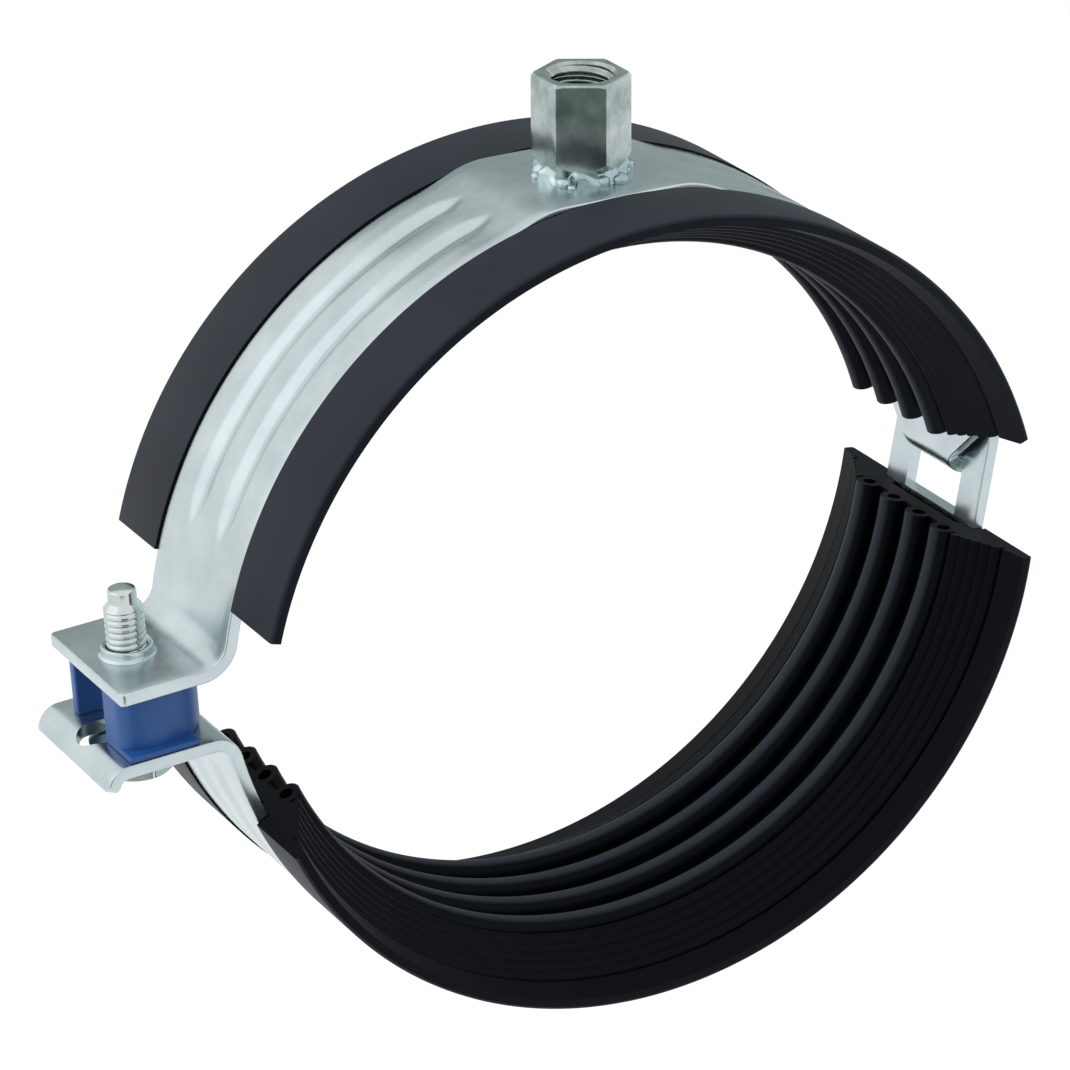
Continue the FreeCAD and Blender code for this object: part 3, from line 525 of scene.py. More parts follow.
def across_strip():
    """Places across the strip, close together on beads and edges, and how much its edges thin there."""
    bead = np.linspace(-1, 1, BEAD_POINTS) * BEAD_HALF
    flat = STRIP_WIDE / 2 - EDGE_ROUND
    plain = np.linspace(-flat, flat, FLAT_POINTS)
    plain = plain[np.abs(np.abs(plain) - BEAD_APART / 2) > BEAD_HALF]
    turn = np.radians(np.linspace(90 / EDGE_POINTS, 90, EDGE_POINTS))
    edge = flat + EDGE_ROUND * np.sin(turn)
    across = np.concatenate((plain, bead - BEAD_APART / 2, bead + BEAD_APART / 2, edge, -edge))
    thin = np.concatenate((np.zeros(len(plain) + 2 * BEAD_POINTS),
                           np.tile(EDGE_ROUND * (1 - np.cos(turn)), 2)))
    order = np.argsort(across)
    return across[order], thin[order]


def bead_push(line, run, across, centre, spans):
    """How far the press moves each point. A span is two pairs of an angle and its fade's length."""
    push = np.zeros((len(line), len(across)))
    for span in spans:
        (start, start_fade), (end, end_fade) = sorted(
            (run[np.argmin(np.linalg.norm(line - polar(centre, MIDDLE_RADIUS, angle), axis=1))], fade)
            for angle, fade in span)
        share = np.clip(np.minimum((run - start) / start_fade, (end - run) / end_fade), 0, 1)
        share = share * share * (3 - 2 * share)
        reach = BEAD_HALF * (BEAD_TIP + (1 - BEAD_TIP) * share)
        aside = np.abs(np.abs(across)[None] - BEAD_APART / 2) / reach[:, None]
        push += BEAD_DEEP * share[:, None] * 0.5 * (1 + np.cos(math.pi * np.clip(aside, 0, 1)))
    return push


print("points across the strip", len(across_strip()[0]))

# %% [markdown]
# With the places across and the push at each point, the strip is a row of rings: one ring for each
# point of the middle line, with the outer face on one side and the inner face on the other. The
# first and last rings are closed with quads, and both get thinner at the edge, as a cut and tumbled
# strip does.

# %% Pressed strip
def corner_cut(distance, radius):
    """How far a rounded corner takes a side in, at a distance from the end."""
    near = np.clip(radius - distance, 0, radius)
    return radius - np.sqrt(radius ** 2 - near ** 2)


def pressed_strip(line, outward, half_width, centre, bead_spans):
    """Skin of a strip along its middle line. Outward is 1 where the outside lies left of that way."""
    step = np.gradient(line, axis=0)
    step /= np.linalg.norm(step, axis=1)[:, None]
    normal = np.column_stack((-step[:, 1], step[:, 0])) * outward
    run = np.concatenate(([0], np.cumsum(np.linalg.norm(np.diff(line, axis=0), axis=1))))
    across, thin = across_strip()
    push = bead_push(line, run, across, centre, bead_spans)
    width = half_width(line, run) / (STRIP_WIDE / 2)
    end_thin = corner_cut(np.minimum(run, run[-1] - run), EDGE_ROUND)
    half = STRIP_THICK / 2 - np.maximum(thin[None], end_thin[:, None])
    sides = []
    for side in (1, -1):
        shift = side * half - push
        x = line[:, 0, None] + normal[:, 0, None] * shift
        z = line[:, 1, None] + normal[:, 1, None] * shift
        y = across[None] * width[:, None]
        sides.append(np.stack((x, y, z), axis=-1)[:, ::side])
    rings = np.concatenate(sides, axis=1)
    points, quads = skin(rings)
    around = rings.shape[1]
    for first in (0, (len(line) - 1) * around):
        quads += [[first + j, first + j + 1, first + around - 2 - j, first + around - 1 - j]
                  for j in range(around // 2 - 1)]
    return points, quads

# %% [markdown]
# The ear and the hook are cut to their own widths: the ear has small round corners, and the band
# narrows in two shoulders to the tongue that the hook is bent from. The width is a function of the
# place along the line, so the same skin takes it. Round corners need points close together, and the
# line has few at its end, so more are added.

# %% Width of the upper band
TONGUE_WIDE = 12.4
SHOULDER_HIGH = 16.4
SHOULDER_LOW = 10.0
EAR_CORNER = 1.0
CORNER_STEPS = (0, 0.03, 0.08, 0.15, 0.25)
CORNER_REST = 0.4


def upper_half_width(line, run):
    """Half width at each point: round corners at the ear, and shoulders down to the tongue."""
    half = STRIP_WIDE / 2 - corner_cut(run, EAR_CORNER)
    narrowed = np.interp(line[:, 1], (SHOULDER_LOW, SHOULDER_HIGH), (TONGUE_WIDE / 2, STRIP_WIDE / 2))
    narrowed[line[:, 0] > PIVOT[0]] = TONGUE_WIDE / 2
    return np.where(line[:, 0] > 0, narrowed, half)


def finer_end(line, step=0.2, long=1.4):
    """Divide the line's first stretch, where corners are rounded."""
    toward = (line[1] - line[0]) / np.linalg.norm(line[1] - line[0])
    places = (*CORNER_STEPS, *np.arange(CORNER_REST, long, step))
    fine = [line[0] + toward * along for along in places]
    far = np.linalg.norm(line - line[0], axis=1) > long
    return np.concatenate((fine, line[far]))


print("upper line with its finer end", len(finer_end(upper_line())), "points")

# %% [markdown]
# The upper ear carries the thread, and the thread's collar isn't a nut: a punch draws it up out of
# the ear's own metal, so it rises from the ear in a small fillet and its rim is a little uneven. It
# is a profile of radius and height, turned about the screw's axis, and the same function turns the
# punch that opens the ear below it.

# %% Upper band and its collar
TURNED_ROUND = 64
COLLAR = [(3.6, -1.99), (3.6, -0.3), (4.5, -0.3), (4.35, 0.03), (4.14, 0.12),
          (4.0, 0.35), (3.93, 0.85), (3.9, 1.25), (3.82, 1.42), (3.6, 1.5),
          (3.33, 1.42), (3.06, 1.15), (3.06, -1.99), (3.6, -1.99)]
COLLAR_HOLE = 3.2
RIM_WAVES = ((0.13, 2, 0.7), (0.07, 5, 0.0))
PUNCH_REACH = 5.0
COLLAR_CREASE = 60


def set_up(rings, centre, tilt):
    """Tilt rings about the pipe's direction, from +X towards +Z, and move them to their place."""
    turn = math.radians(tilt)
    x, y, z = np.moveaxis(rings, -1, 0)
    return np.stack((x * math.cos(turn) - z * math.sin(turn) + centre[0], y,
                     x * math.sin(turn) + z * math.cos(turn) + centre[1]), axis=-1)


def turned(profile, wobble=lambda angle, share: 0.0):
    """Skin turned about the screw's axis from (radius, height) points, lifted by the wobble."""
    angle = np.linspace(0, 2 * math.pi, TURNED_ROUND, endpoint=False)
    rings = []
    for place, (radius, height) in enumerate(profile):
        lift = height + wobble(angle, place / (len(profile) - 1))
        x, y = radius * np.cos(angle), radius * np.sin(angle)
        rings.append(np.stack((x, y, np.broadcast_to(lift, x.shape)), axis=-1))
    return skin(set_up(np.array(rings), SCREW_AT, EAR_TILT))


def rim_wobble(angle, share):
    """Uneven rim: highest half way along the collar's profile, nothing at its foot."""
    waves = sum(high * np.sin(angle * turns + begin) for high, turns, begin in RIM_WAVES)
    return waves * math.sin(math.pi * share) ** 2


upper_beads = [((163, 9.0), (105, 4.6)), ((75, 4.6), (23, 7.0))]
strip = pressed_strip(finer_end(upper_line()), 1, upper_half_width, UPPER_CENTRE, upper_beads)
upper_band = solid("upper_band_pressing", strip)
points, faces = turned([(COLLAR_HOLE, -PUNCH_REACH), (COLLAR_HOLE, PUNCH_REACH)])
faces += [list(range(TURNED_ROUND)), list(range(TURNED_ROUND, 2 * TURNED_ROUND))]
cut_through(upper_band, solid("thread_punch", (points, faces)))
dress(upper_band, [zinc_strip], "upper", "upper_band")
collar = solid("drawn_collar", turned(COLLAR, rim_wobble))
dress(collar, [zinc_strip], "upper", crease=COLLAR_CREASE)

# %% [markdown]
# The lower band has a slot in its ear, so that the screw finds its way as the halves close, and a
# window for the hook in its legs, which leaves the crossbar above it. Both are cut with a punch
# whose outline is raised to a prism.

# %% Lower band
SLOT_WIDE = 7.0
SLOT_RUN = 5.6
WINDOW_WIDE = 14.0
WINDOW_LOW = 0.6
BAR_BELOW_PIVOT = 1.2
LEG_CORNER = 2.0
LIP_CORNER = 1.2
SLOT_PUNCH = (-15, 5)
WINDOW_PUNCH = (50, 90)
CUT_STEP = 0.5


def lower_half_width(line, run):
    """Half width at each point, with round corners at the lip and at the ends of the legs."""
    return STRIP_WIDE / 2 - corner_cut(run, LIP_CORNER) - corner_cut(run[-1] - run, LEG_CORNER)


def block(outline, low, high, axis):
    """Closed prism over an outline of two coordinates, along the third."""
    rings = []
    for level in (low, high):
        rings.append(np.insert(np.array(outline, float), axis, level, axis=1))
    points, faces = skin(np.array(rings))
    around = len(outline)
    return points, faces + [list(range(around)), list(range(around, 2 * around))]


line = finer_end(lower_line())
line = finer_end(line[::-1], long=LEG_CORNER + CORNER_REST)[::-1]
lower_beads = [((197, 4.0), (347, 6.0))]
strip = pressed_strip(line, -1, lower_half_width, LOWER_CENTRE, lower_beads)
lower_band = solid("lower_band_pressing", strip)
slot_end = low_ear_at - along_ear * SLOT_RUN
slot = np.concatenate((arc((low_ear_at[0], 0), SLOT_WIDE / 2, -90, 90, CUT_STEP),
                       arc((slot_end[0], 0), SLOT_WIDE / 2, 90, 270, CUT_STEP)))
cut_through(lower_band, solid("slot_punch", block(slot, *SLOT_PUNCH, 2)))
half = WINDOW_WIDE / 2
top = PIVOT[1] - BAR_BELOW_PIVOT
window = [(-half, WINDOW_LOW), (half, WINDOW_LOW), (half, top), (-half, top)]
cut_through(lower_band, solid("window_punch", block(window, *WINDOW_PUNCH, 0)))
dress(lower_band, [zinc_strip], "lower", "lower_band")

# %% [markdown]
# Each liner is one extruded section bent round its half of the ring: a channel that holds the
# band's edges, a plain margin at each side, small ribs on the slopes and four large hollow ribs
# that the pipe rests on. The section is drawn once, as distances from the ring's centre and places
# along the pipe. Half of it is enough, because the other half is its mirror image.

# %% Liner section
INNER_RADIUS = RING_RADIUS - STRIP_THICK
FLANGE_RADIUS = RING_RADIUS + 0.3
FLOOR_RADIUS = INNER_RADIUS - 0.12
LINER_HALF = STRIP_WIDE / 2 + 13.2
LAND_WIDE = 3.2
POCKET_DEEP = 0.9
EDGE_GAP = 0.25
TIP_THICK = 1.7
TIP_ROUND = 0.45
TIP_POINTS = 4
MARGIN_WIDE = 4.4
MARGIN_FALL = 1.0
GROOVE = 0.6
RIB_APART = 7.1
RIB_HALF = 2.15
RIB_DEEP = 2.8
RIB_POINTS = 14
RIBS = 4
FLARE_LOW = 1.7
FLARE_APART = 0.5
SMALL_RIBS = 5
SMALL_HIGH = 0.5
SMALL_ROUND = 0.8
SMALL_STEPS = 8


def liner_half():
    """Half of the section as (radius, along the pipe), from the channel to the middle of the ribs."""
    land = STRIP_WIDE / 2 - LAND_WIDE
    wall = STRIP_WIDE / 2 + EDGE_GAP
    tip_inner = FLANGE_RADIUS - TIP_THICK
    margin = (tip_inner - MARGIN_FALL, LINER_HALF - MARGIN_WIDE)
    flare = (CREST_RADIUS + FLARE_LOW, RIB_APART * (RIBS - 1) / 2 + RIB_HALF + FLARE_APART)
    points = [(FLOOR_RADIUS - POCKET_DEEP, land), (FLOOR_RADIUS, land), (FLOOR_RADIUS, wall),
              (FLANGE_RADIUS, wall)]
    for turn in np.radians(np.linspace(90, 0, TIP_POINTS)):
        points.append((FLANGE_RADIUS - TIP_ROUND * (1 - math.sin(turn)),
                       LINER_HALF - TIP_ROUND * (1 - math.cos(turn))))
    points += [(tip_inner, LINER_HALF), margin, (margin[0] + GROOVE, margin[1]),
               (margin[0] + GROOVE, margin[1] - GROOVE)]
    start = (margin[0], margin[1] - GROOVE)
    for step in range(SMALL_RIBS * SMALL_STEPS + 1):
        share = step / (SMALL_RIBS * SMALL_STEPS)
        rise = SMALL_HIGH * abs(math.sin(math.pi * step / SMALL_STEPS)) ** SMALL_ROUND
        points.append((start[0] + (flare[0] - start[0]) * share - rise,
                       start[1] + (flare[1] - start[1]) * share))
    valley = CREST_RADIUS + RIB_DEEP
    points.append((valley, flare[1]))
    for step in range(RIBS // 2):
        middle = RIB_APART * ((RIBS - 1) / 2 - step)
        points.append((valley, middle + RIB_HALF))
        for turn in np.radians(np.linspace(90, 270, RIB_POINTS)):
            points.append((CREST_RADIUS + RIB_HALF + RIB_HALF * math.cos(turn),
                           middle + RIB_HALF * math.sin(turn)))
        points.append((valley, middle - RIB_HALF))
    return points


print("half of the liner's section", len(liner_half()), "points")

# %% [markdown]
# Each large rib has a round chamber along it, so the section has four holes. Both ends of the liner
# show them, and a single face can't have holes, so the ends are cut into triangles between the
# outline and the chambers. The walls are quads from one ring to the next, and there are many rings
# because the inside is seen close, edge on.

# %% Liner with its chambers
CHAMBER_RADIUS = 1.1
CHAMBER_DEEP = 2.2
CHAMBER_POINTS = 16
LINER_STEPS = 240


def liner_loops():
    """The section's outline and then its chambers, each as a loop of (radius, along the pipe)."""
    half = liner_half()
    loops = [half + [(radius, -along) for radius, along in reversed(half)]]
    turn = np.linspace(0, 360, CHAMBER_POINTS, endpoint=False)
    for rib in range(RIBS):
        chamber = (CREST_RADIUS + CHAMBER_DEEP, RIB_APART * (rib - (RIBS - 1) / 2))
        loops.append(polar(chamber, CHAMBER_RADIUS, turn).tolist())
    return loops


def liner(name, centre, middle, spread):
    """The section swept round its centre, over the spread in degrees to both sides of the middle."""
    loops = liner_loops()
    section = np.array([point for loop in loops for point in loop])
    angle = np.radians(np.linspace(-spread / 2, spread / 2, LINER_STEPS) + middle)[:, None]
    along = np.broadcast_to(section[:, 1], (LINER_STEPS, len(section)))
    rings = np.stack((centre[0] + section[:, 0] * np.cos(angle), along,
                      centre[1] + section[:, 0] * np.sin(angle)), axis=-1)
    faces, start = [], 0
    for loop in loops:
        first = start + np.arange(len(loop))
        after = start + (np.arange(len(loop)) + 1) % len(loop)
        for ring in range(LINER_STEPS - 1):
            low, high = ring * len(section), (ring + 1) * len(section)
            faces += np.column_stack((low + first, low + after, high + after, high + first)).tolist()
        start += len(loop)
    cut = tessellate_polygon([[Vector((*point, 0)) for point in loop] for loop in loops])
    for base in (0, (LINER_STEPS - 1) * len(section)):
        faces += [[base + corner for corner in triangle] for triangle in cut]
    made = solid(name, (rings.reshape(-1, 3).tolist(), faces))
    # The faces beyond the flange's tip take the second material, the outside rubber painted lighter as
    # painted light.
    for face in made.data.polygons:
        from_axis = math.hypot(face.center.x / MM - centre[0], face.center.z / MM - centre[1])
        face.material_index = int(from_axis > FLANGE_RADIUS - TIP_ROUND)
    return made


print("section", [len(loop) for loop in liner_loops()], "points in its loops")

# %% [markdown]
# Both halves are cut from the same extrusion. The upper liner is turned a little towards the screw
# and the lower one more towards the hinge, so that each fills the room that its band's arc gives
# it. The faces outside take the rubber painted lighter for the light that grazes them, and all the
# others the dark one with painted highlights on the crests.

# %% Both liners
UPPER_LINER_ANGLE = 148.8
LOWER_LINER_ANGLE = 148.0
UPPER_MIDDLE = 91.75
LOWER_MIDDLE = -81.6

upper_liner = liner("upper_liner_extrusion", UPPER_CENTRE, UPPER_MIDDLE, UPPER_LINER_ANGLE)
dress(upper_liner, [rubber_upper, rubber_lit_outside], "upper", "upper_liner")
lower_liner = liner("lower_liner_extrusion", LOWER_CENTRE, LOWER_MIDDLE, LOWER_LINER_ANGLE)
dress(lower_liner, [rubber_shaded_lower, rubber_lit_outside], "lower", "lower_liner")

# %% [markdown]
# Threads need no boolean either. A right hand thread is a tube whose radius depends on height and
# angle together: going once round raises the same radius by one pitch. So a stack of rings, sixteen
# to a pitch, gives the flanks, and the same function serves the screw outside and the nut inside. A
# hexagon is a tube too, with a radius that follows its flats, and its chamfers curve by themselves
# where a cone meets the flats.

# %% Threads and hexagons
ROUND = 96
RINGS_A_PITCH = 16
THREAD_ROOT = 0.05
CHAMFER = math.tan(math.radians(30))
CORNER_BREAK = 0.07
round_angle = np.linspace(0, 2 * math.pi, ROUND, endpoint=False)


def thread_radius(height, pitch, core, outer, flank=0.7):
    """Radius of a right hand thread, all round, at a height. Flank is the flanks' share of the pitch."""
    wave = np.abs((height / pitch - round_angle / (2 * math.pi)) % 1 * 2 - 1)
    return core + (outer - core) * np.clip((wave - THREAD_ROOT) / flank, 0, 1)


def hexagon_radius(flats):
    """Radius of a hexagon with two of its flats square to X, with its corners just broken."""
    away = (round_angle + math.pi / 6) % (math.pi / 3) - math.pi / 6
    return np.minimum(flats / 2 / np.cos(away), flats / math.sqrt(3) - CORNER_BREAK)


def ring_of(radius, height):
    """One ring of points about the upright axis. Radius and height may follow the angle."""
    radius = np.broadcast_to(radius, round_angle.shape)
    return np.stack((radius * np.cos(round_angle), radius * np.sin(round_angle),
                     np.broadcast_to(height, round_angle.shape)), axis=-1)


print("a thread has", ROUND, "points round and", RINGS_A_PITCH, "rings to a pitch")

# %% [markdown]
# The screw is rolled, not cut: its thread is pressed into the bar, which leaves rounded, shallow
# flanks. It starts at the hexagon head under the lower ear and ends in a cone and a short dog
# point, which finds the thread's mouth when the clamp is closed. Heights count from the top of the
# upper ear, along the screw's own axis.

# %% Clamp screw
SCREW_RADIUS = 3.0
SCREW_CORE = 2.74
SCREW_FLANK = 0.62
SCREW_PITCH = 1.0
SCREW_CREASE = 50
PLAIN_SHANK = 1.0
HEAD_FLATS = 10.0
HEAD_HIGH = 4.0
HEAD_FACE = 4.6
WASHER_THICK = 1.2
WASHER_GAP = 0.25
HEAD_GAP = 0.1
HEAD_TOP = -STRIP_THICK * 2 - EAR_GAP - WASHER_GAP - WASHER_THICK - HEAD_GAP
FULL_THREAD = 7.4
POINT_CONE = 1.0
DOG_RADIUS = 2.15
DOG_LONG = 2.0
DOG_EDGE = ((0, 0.3), (0.1, 0.1), (0.3, 0))

corners = hexagon_radius(HEAD_FLATS)
rings = [ring_of(HEAD_FACE, HEAD_TOP - HEAD_HIGH),
         ring_of(corners, HEAD_TOP - HEAD_HIGH + (corners - HEAD_FACE) * CHAMFER),
         ring_of(corners, HEAD_TOP), ring_of(SCREW_CORE, HEAD_TOP)]
cone_top = FULL_THREAD + POINT_CONE
for height in np.arange(HEAD_TOP + PLAIN_SHANK, cone_top, SCREW_PITCH / RINGS_A_PITCH):
    cone = SCREW_RADIUS + (FULL_THREAD - height) * (SCREW_RADIUS - DOG_RADIUS) / POINT_CONE
    thread = thread_radius(height, SCREW_PITCH, SCREW_CORE, SCREW_RADIUS, SCREW_FLANK)
    rings.append(ring_of(np.minimum(thread, cone), height))
rings.append(ring_of(DOG_RADIUS, cone_top))
for inward, below in DOG_EDGE:
    rings.append(ring_of(DOG_RADIUS - inward, cone_top + DOG_LONG - below))
points, faces = skin(set_up(np.array(rings), SCREW_AT, EAR_TILT))
faces += [list(range(ROUND)), list(range(len(points) - ROUND, len(points)))]
screw = solid("rolled_screw", (points, faces))
dress(screw, [zinc_fastener], "screw", "clamp_screw", crease=SCREW_CREASE)

# %% [markdown]
# The nut is cut from hexagon bar, and its two ends are turned: a wide, shallow chamfer at the top,
# where the rod goes in, and a steep one at the foot, where the weld holds it. Inside, an M10 thread
# reaches half way down, and an M8 one goes on below it, so that rods of either size fit. The
# outside and the bore are two skins that meet at the mouth, because their creases are not the same:
# the hexagon's edges stay crisp and the thread's are soft.

# %% Hanger nut
PAD_TOP = RING_RADIUS + PAD_RISE
NUT_FLATS = 13.0
NUT_FOOT = PAD_TOP + 0.6
NUT_TOP = PAD_TOP + 15.4
NUT_TOP_FACE = 7.05
NUT_TOP_EDGE = ((0, 0.3), (0.08, 0.12))
NUT_TOP_IN = 0.3
NUT_LOW_FACE = 5.5
NUT_LOW_SLOPE = math.tan(math.radians(52))
NUT_CREASE = 20
WIDE_THREAD = (1.5, 4.25, 5.0)
NARROW_THREAD = (1.25, 3.4, 4.0)
WIDE_DEEP = 7.0
THREAD_START = 0.15
THREAD_APART = 0.4
THREAD_CREASE = 80
MOUTH = 5.4

corners = hexagon_radius(NUT_FLATS)
fall = np.maximum(corners - NUT_TOP_FACE, 0) * CHAMFER
rings = [ring_of(NUT_LOW_FACE, NUT_FOOT),
         ring_of(corners, NUT_FOOT + (corners - NUT_LOW_FACE) * NUT_LOW_SLOPE)]
for inward, below in NUT_TOP_EDGE:
    rings.append(ring_of(corners - inward, NUT_TOP - below - fall))
rings += [ring_of(np.minimum(corners - NUT_TOP_IN, NUT_TOP_FACE), NUT_TOP), ring_of(MOUTH, NUT_TOP)]
nut = solid("hexagon_nut", skin(np.array(rings)))
dress(nut, [zinc_nut], "upper", "hanger_nut", crease=NUT_CREASE)
rings = [ring_of(MOUTH, NUT_TOP)]
for height in np.arange(NUT_TOP - THREAD_START, NUT_TOP - WIDE_DEEP, -WIDE_THREAD[0] / RINGS_A_PITCH):
    cone = MOUTH - (NUT_TOP - height)
    rings.append(ring_of(np.maximum(thread_radius(height, *WIDE_THREAD), cone), height))
narrow_top = NUT_TOP - WIDE_DEEP - THREAD_APART
for height in np.arange(narrow_top, NUT_FOOT, -NARROW_THREAD[0] / RINGS_A_PITCH):
    rings.append(ring_of(thread_radius(height, *NARROW_THREAD), height))
rings.append(ring_of(NARROW_THREAD[1], NUT_FOOT))
bore = solid("nut_thread", skin(np.array(rings)))
dress(bore, [zinc_nut], "upper", crease=THREAD_CREASE)

# %% [markdown]
# The nut is welded to the flat, and weld isn't tidy: a lumpy bead runs round the nut's foot, and
# small drops freeze beside it. The bead is a turned ring, pushed out and in by the sum of a few
# waves that run round it at a slant, and the drops are flattened balls. A seeded generator picks
# both, so they are the same on every run.

# %% Weld
WELD_PROFILE = [(5.1, 2.6), (6.0, 2.2), (6.5, 1.6), (6.85, 1.0), (7.1, 0.4), (7.2, -0.15)]
WELD_CORE = 3.6
WELD_ROWS = 14
WAVES = 9
WAVE_TURNS = (4, 15)
WAVE_SLANT = 4
LUMP = 0.24
LUMP_LIFT = 0.5
LUMP_FULL = 0.8
WELD_CREASE = 60

chance = np.random.default_rng(11)
share = np.linspace(0, 1, WELD_ROWS)
profile = np.array(WELD_PROFILE)
radius, height = (np.interp(share, np.linspace(0, 1, len(profile)), side) for side in profile.T)
lumps = np.zeros((WELD_ROWS, ROUND))
for wave in range(WAVES):
    turns = chance.integers(*WAVE_TURNS)
    slant, begin = chance.uniform(-WAVE_SLANT, WAVE_SLANT), chance.uniform(0, 2 * math.pi)
    lumps += LUMP * np.sin(turns * round_angle[None] + slant * share[:, None] + begin)
lumps *= np.sin(math.pi * np.clip(share, 0, LUMP_FULL))[:, None]
rings = [ring_of(WELD_CORE, PAD_TOP + height[0])]
for row in range(WELD_ROWS):
    lift = lumps[row] * LUMP_LIFT * (row < WELD_ROWS - 1)
    rings.append(ring_of(radius[row] + lumps[row], PAD_TOP + height[row] + lift))
rings.append(ring_of(WELD_CORE, PAD_TOP + height[-1]))
bead = skin(np.array(rings + rings[:1]))
print("weld lumps reach", round(float(lumps.max()), 2), "mm")

# %% [markdown]
# The drops go round the nut, one to each equal share of the turn, and stray a little from it. Each
# is a ball of few rings, flattened because it froze on the plate, and sunk into it so that no gap
# shows below.

# %% Weld drops
DROPS = 12
DROP_STRAY = 0.35
DROP_SIZES = (0.45, 1.5)
DROP_REACH = (6.4, 8.2)
DROP_HIGH = 0.3
DROP_FLAT = 0.8
DROP_POLE = math.pi / 2 - 0.1
DROP_STEPS = 10
DROP_ROUND = 16

parts = [bead]
for number in range(DROPS):
    angle = 2 * math.pi * (number + chance.uniform(-DROP_STRAY, DROP_STRAY)) / DROPS
    size = chance.uniform(*DROP_SIZES)
    middle = np.array((math.cos(angle), math.sin(angle), 0)) * chance.uniform(*DROP_REACH)
    middle[2] = PAD_TOP + size * DROP_HIGH
    ball = []
    for level in np.linspace(-DROP_POLE, DROP_POLE, DROP_STEPS):
        ring = ring_of(math.cos(level), DROP_FLAT * math.sin(level))[::ROUND // DROP_ROUND]
        ball.append(middle + size * ring)
    points, faces = skin(np.array(ball))
    ends = [list(range(DROP_ROUND)), list(range(len(points) - DROP_ROUND, len(points)))]
    parts.append((points, faces + ends))
dress(solid("nut_weld", *parts), [weld_metal], "upper", crease=WELD_CREASE)

# %% [markdown]
# The spacer is moulded round the screw like a thick letter C, on a flange that stands on the lower
# ear. Its rear arm is thinner than its front one, and the flange stops before it, so the mouth
# looks wide and dark from the front. It is drawn as two outlines seen from above, and each is
# raised to its height.

# %% Spacer
SPACER_RADIUS = 10.6
SPACER_BACK = 1.0
SPACER_CUT = 6.1
SPACER_CORNER = 3.0
MOUTH_HALF = 3.3
REAR_WALL = 6.4
FLANGE_LEFT = 6.2
FLANGE_RIGHT = 5.1
FLANGE_SIDE = STRIP_WIDE / 2 - 0.3
FLANGE_THICK = 0.9
SPACER_PLAY = 0.15
REAR_ROOT = [(-3.0, REAR_WALL), (-2.1, REAR_WALL - 0.4)]
FLANGE_STOP = 1.0
EDGE_ANGLE = 40


def soft_edges(piece, width_mm, segments):
    """Round the sharp edges of a piece with a modifier, which leaves its mesh alone."""
    soften = piece.modifiers.new("soft_edges", "BEVEL")
    soften.width = width_mm * MM
    soften.segments = segments
    soften.limit_method = "ANGLE"
    soften.angle_limit = math.radians(EDGE_ANGLE)


floor_height = -STRIP_THICK - EAR_GAP
inset = SPACER_CUT - SPACER_CORNER
corner_side = math.sqrt((SPACER_RADIUS - SPACER_CORNER) ** 2 - (inset - SPACER_BACK) ** 2)
meeting = math.degrees(math.atan2(corner_side, SPACER_BACK - inset))
mouth_end = arc((0, 0), MOUTH_HALF, 100, -90, CUT_STEP)
block_outline = np.concatenate((
    [(-SPACER_CUT, -MOUTH_HALF)],
    arc((-inset, -corner_side), SPACER_CORNER, 180, 360 - meeting, CUT_STEP),
    arc((-SPACER_BACK, 0), SPACER_RADIUS, -meeting, meeting),
    arc((-inset, corner_side), SPACER_CORNER, meeting, 180, CUT_STEP),
    [(-SPACER_CUT, REAR_WALL), *REAR_ROOT], mouth_end))
flange_outline = np.concatenate((
    [(-FLANGE_LEFT, -MOUTH_HALF), (-FLANGE_LEFT, -FLANGE_SIDE), (FLANGE_RIGHT, -FLANGE_SIDE),
     (FLANGE_RIGHT, FLANGE_SIDE), (-FLANGE_STOP, FLANGE_SIDE)], mouth_end))
parts = []
for outline, high in ((block_outline, EAR_GAP - SPACER_PLAY), (flange_outline, FLANGE_THICK)):
    points, faces = block(outline, floor_height, floor_height + high, 2)
    rings = set_up(np.array(points).reshape(2, -1, 3), SCREW_AT, EAR_TILT)
    parts.append((rings.reshape(-1, 3).tolist(), faces))
spacer = solid("moulded_spacer", *parts)
soft_edges(spacer, 0.3, 3)
dress(spacer, [blue_plastic], "lower", "spacer")

# %% [markdown]
# The washer is right as it comes from the frame. It keeps its solid, and only gets its finish and a
# small rounding on its edges, which modifiers add without touching the mesh.

# %% Washer
washer = frame["nodes"]["screw_washer"]
for place in washer.material_slots:
    place.material = zinc_fastener
washer.modifiers.new("join", "WELD").merge_threshold = 0.001 * MM
soft_edges(washer, 0.15, 2)
print("finished", washer.name)

# %% [markdown]
# The photo was fitted with one perspective camera: where the two arcs, the nut, the ears and the
# hinge fall in the picture gives the bearing, the height and the distance. The distance is kept,
# because the nearer parts look visibly larger than the far ones.

# %% Camera
BEARING = math.radians(-29.39)
HEIGHT = math.radians(23.95)
ROLL = math.radians(-0.33)
DISTANCE = 745.7 * MM
PAN = (7.21 * MM, -7.97 * MM)
SENSOR_MM = 36.0
LENS_MM = 162.70
CLIP_NEAR = 0.01

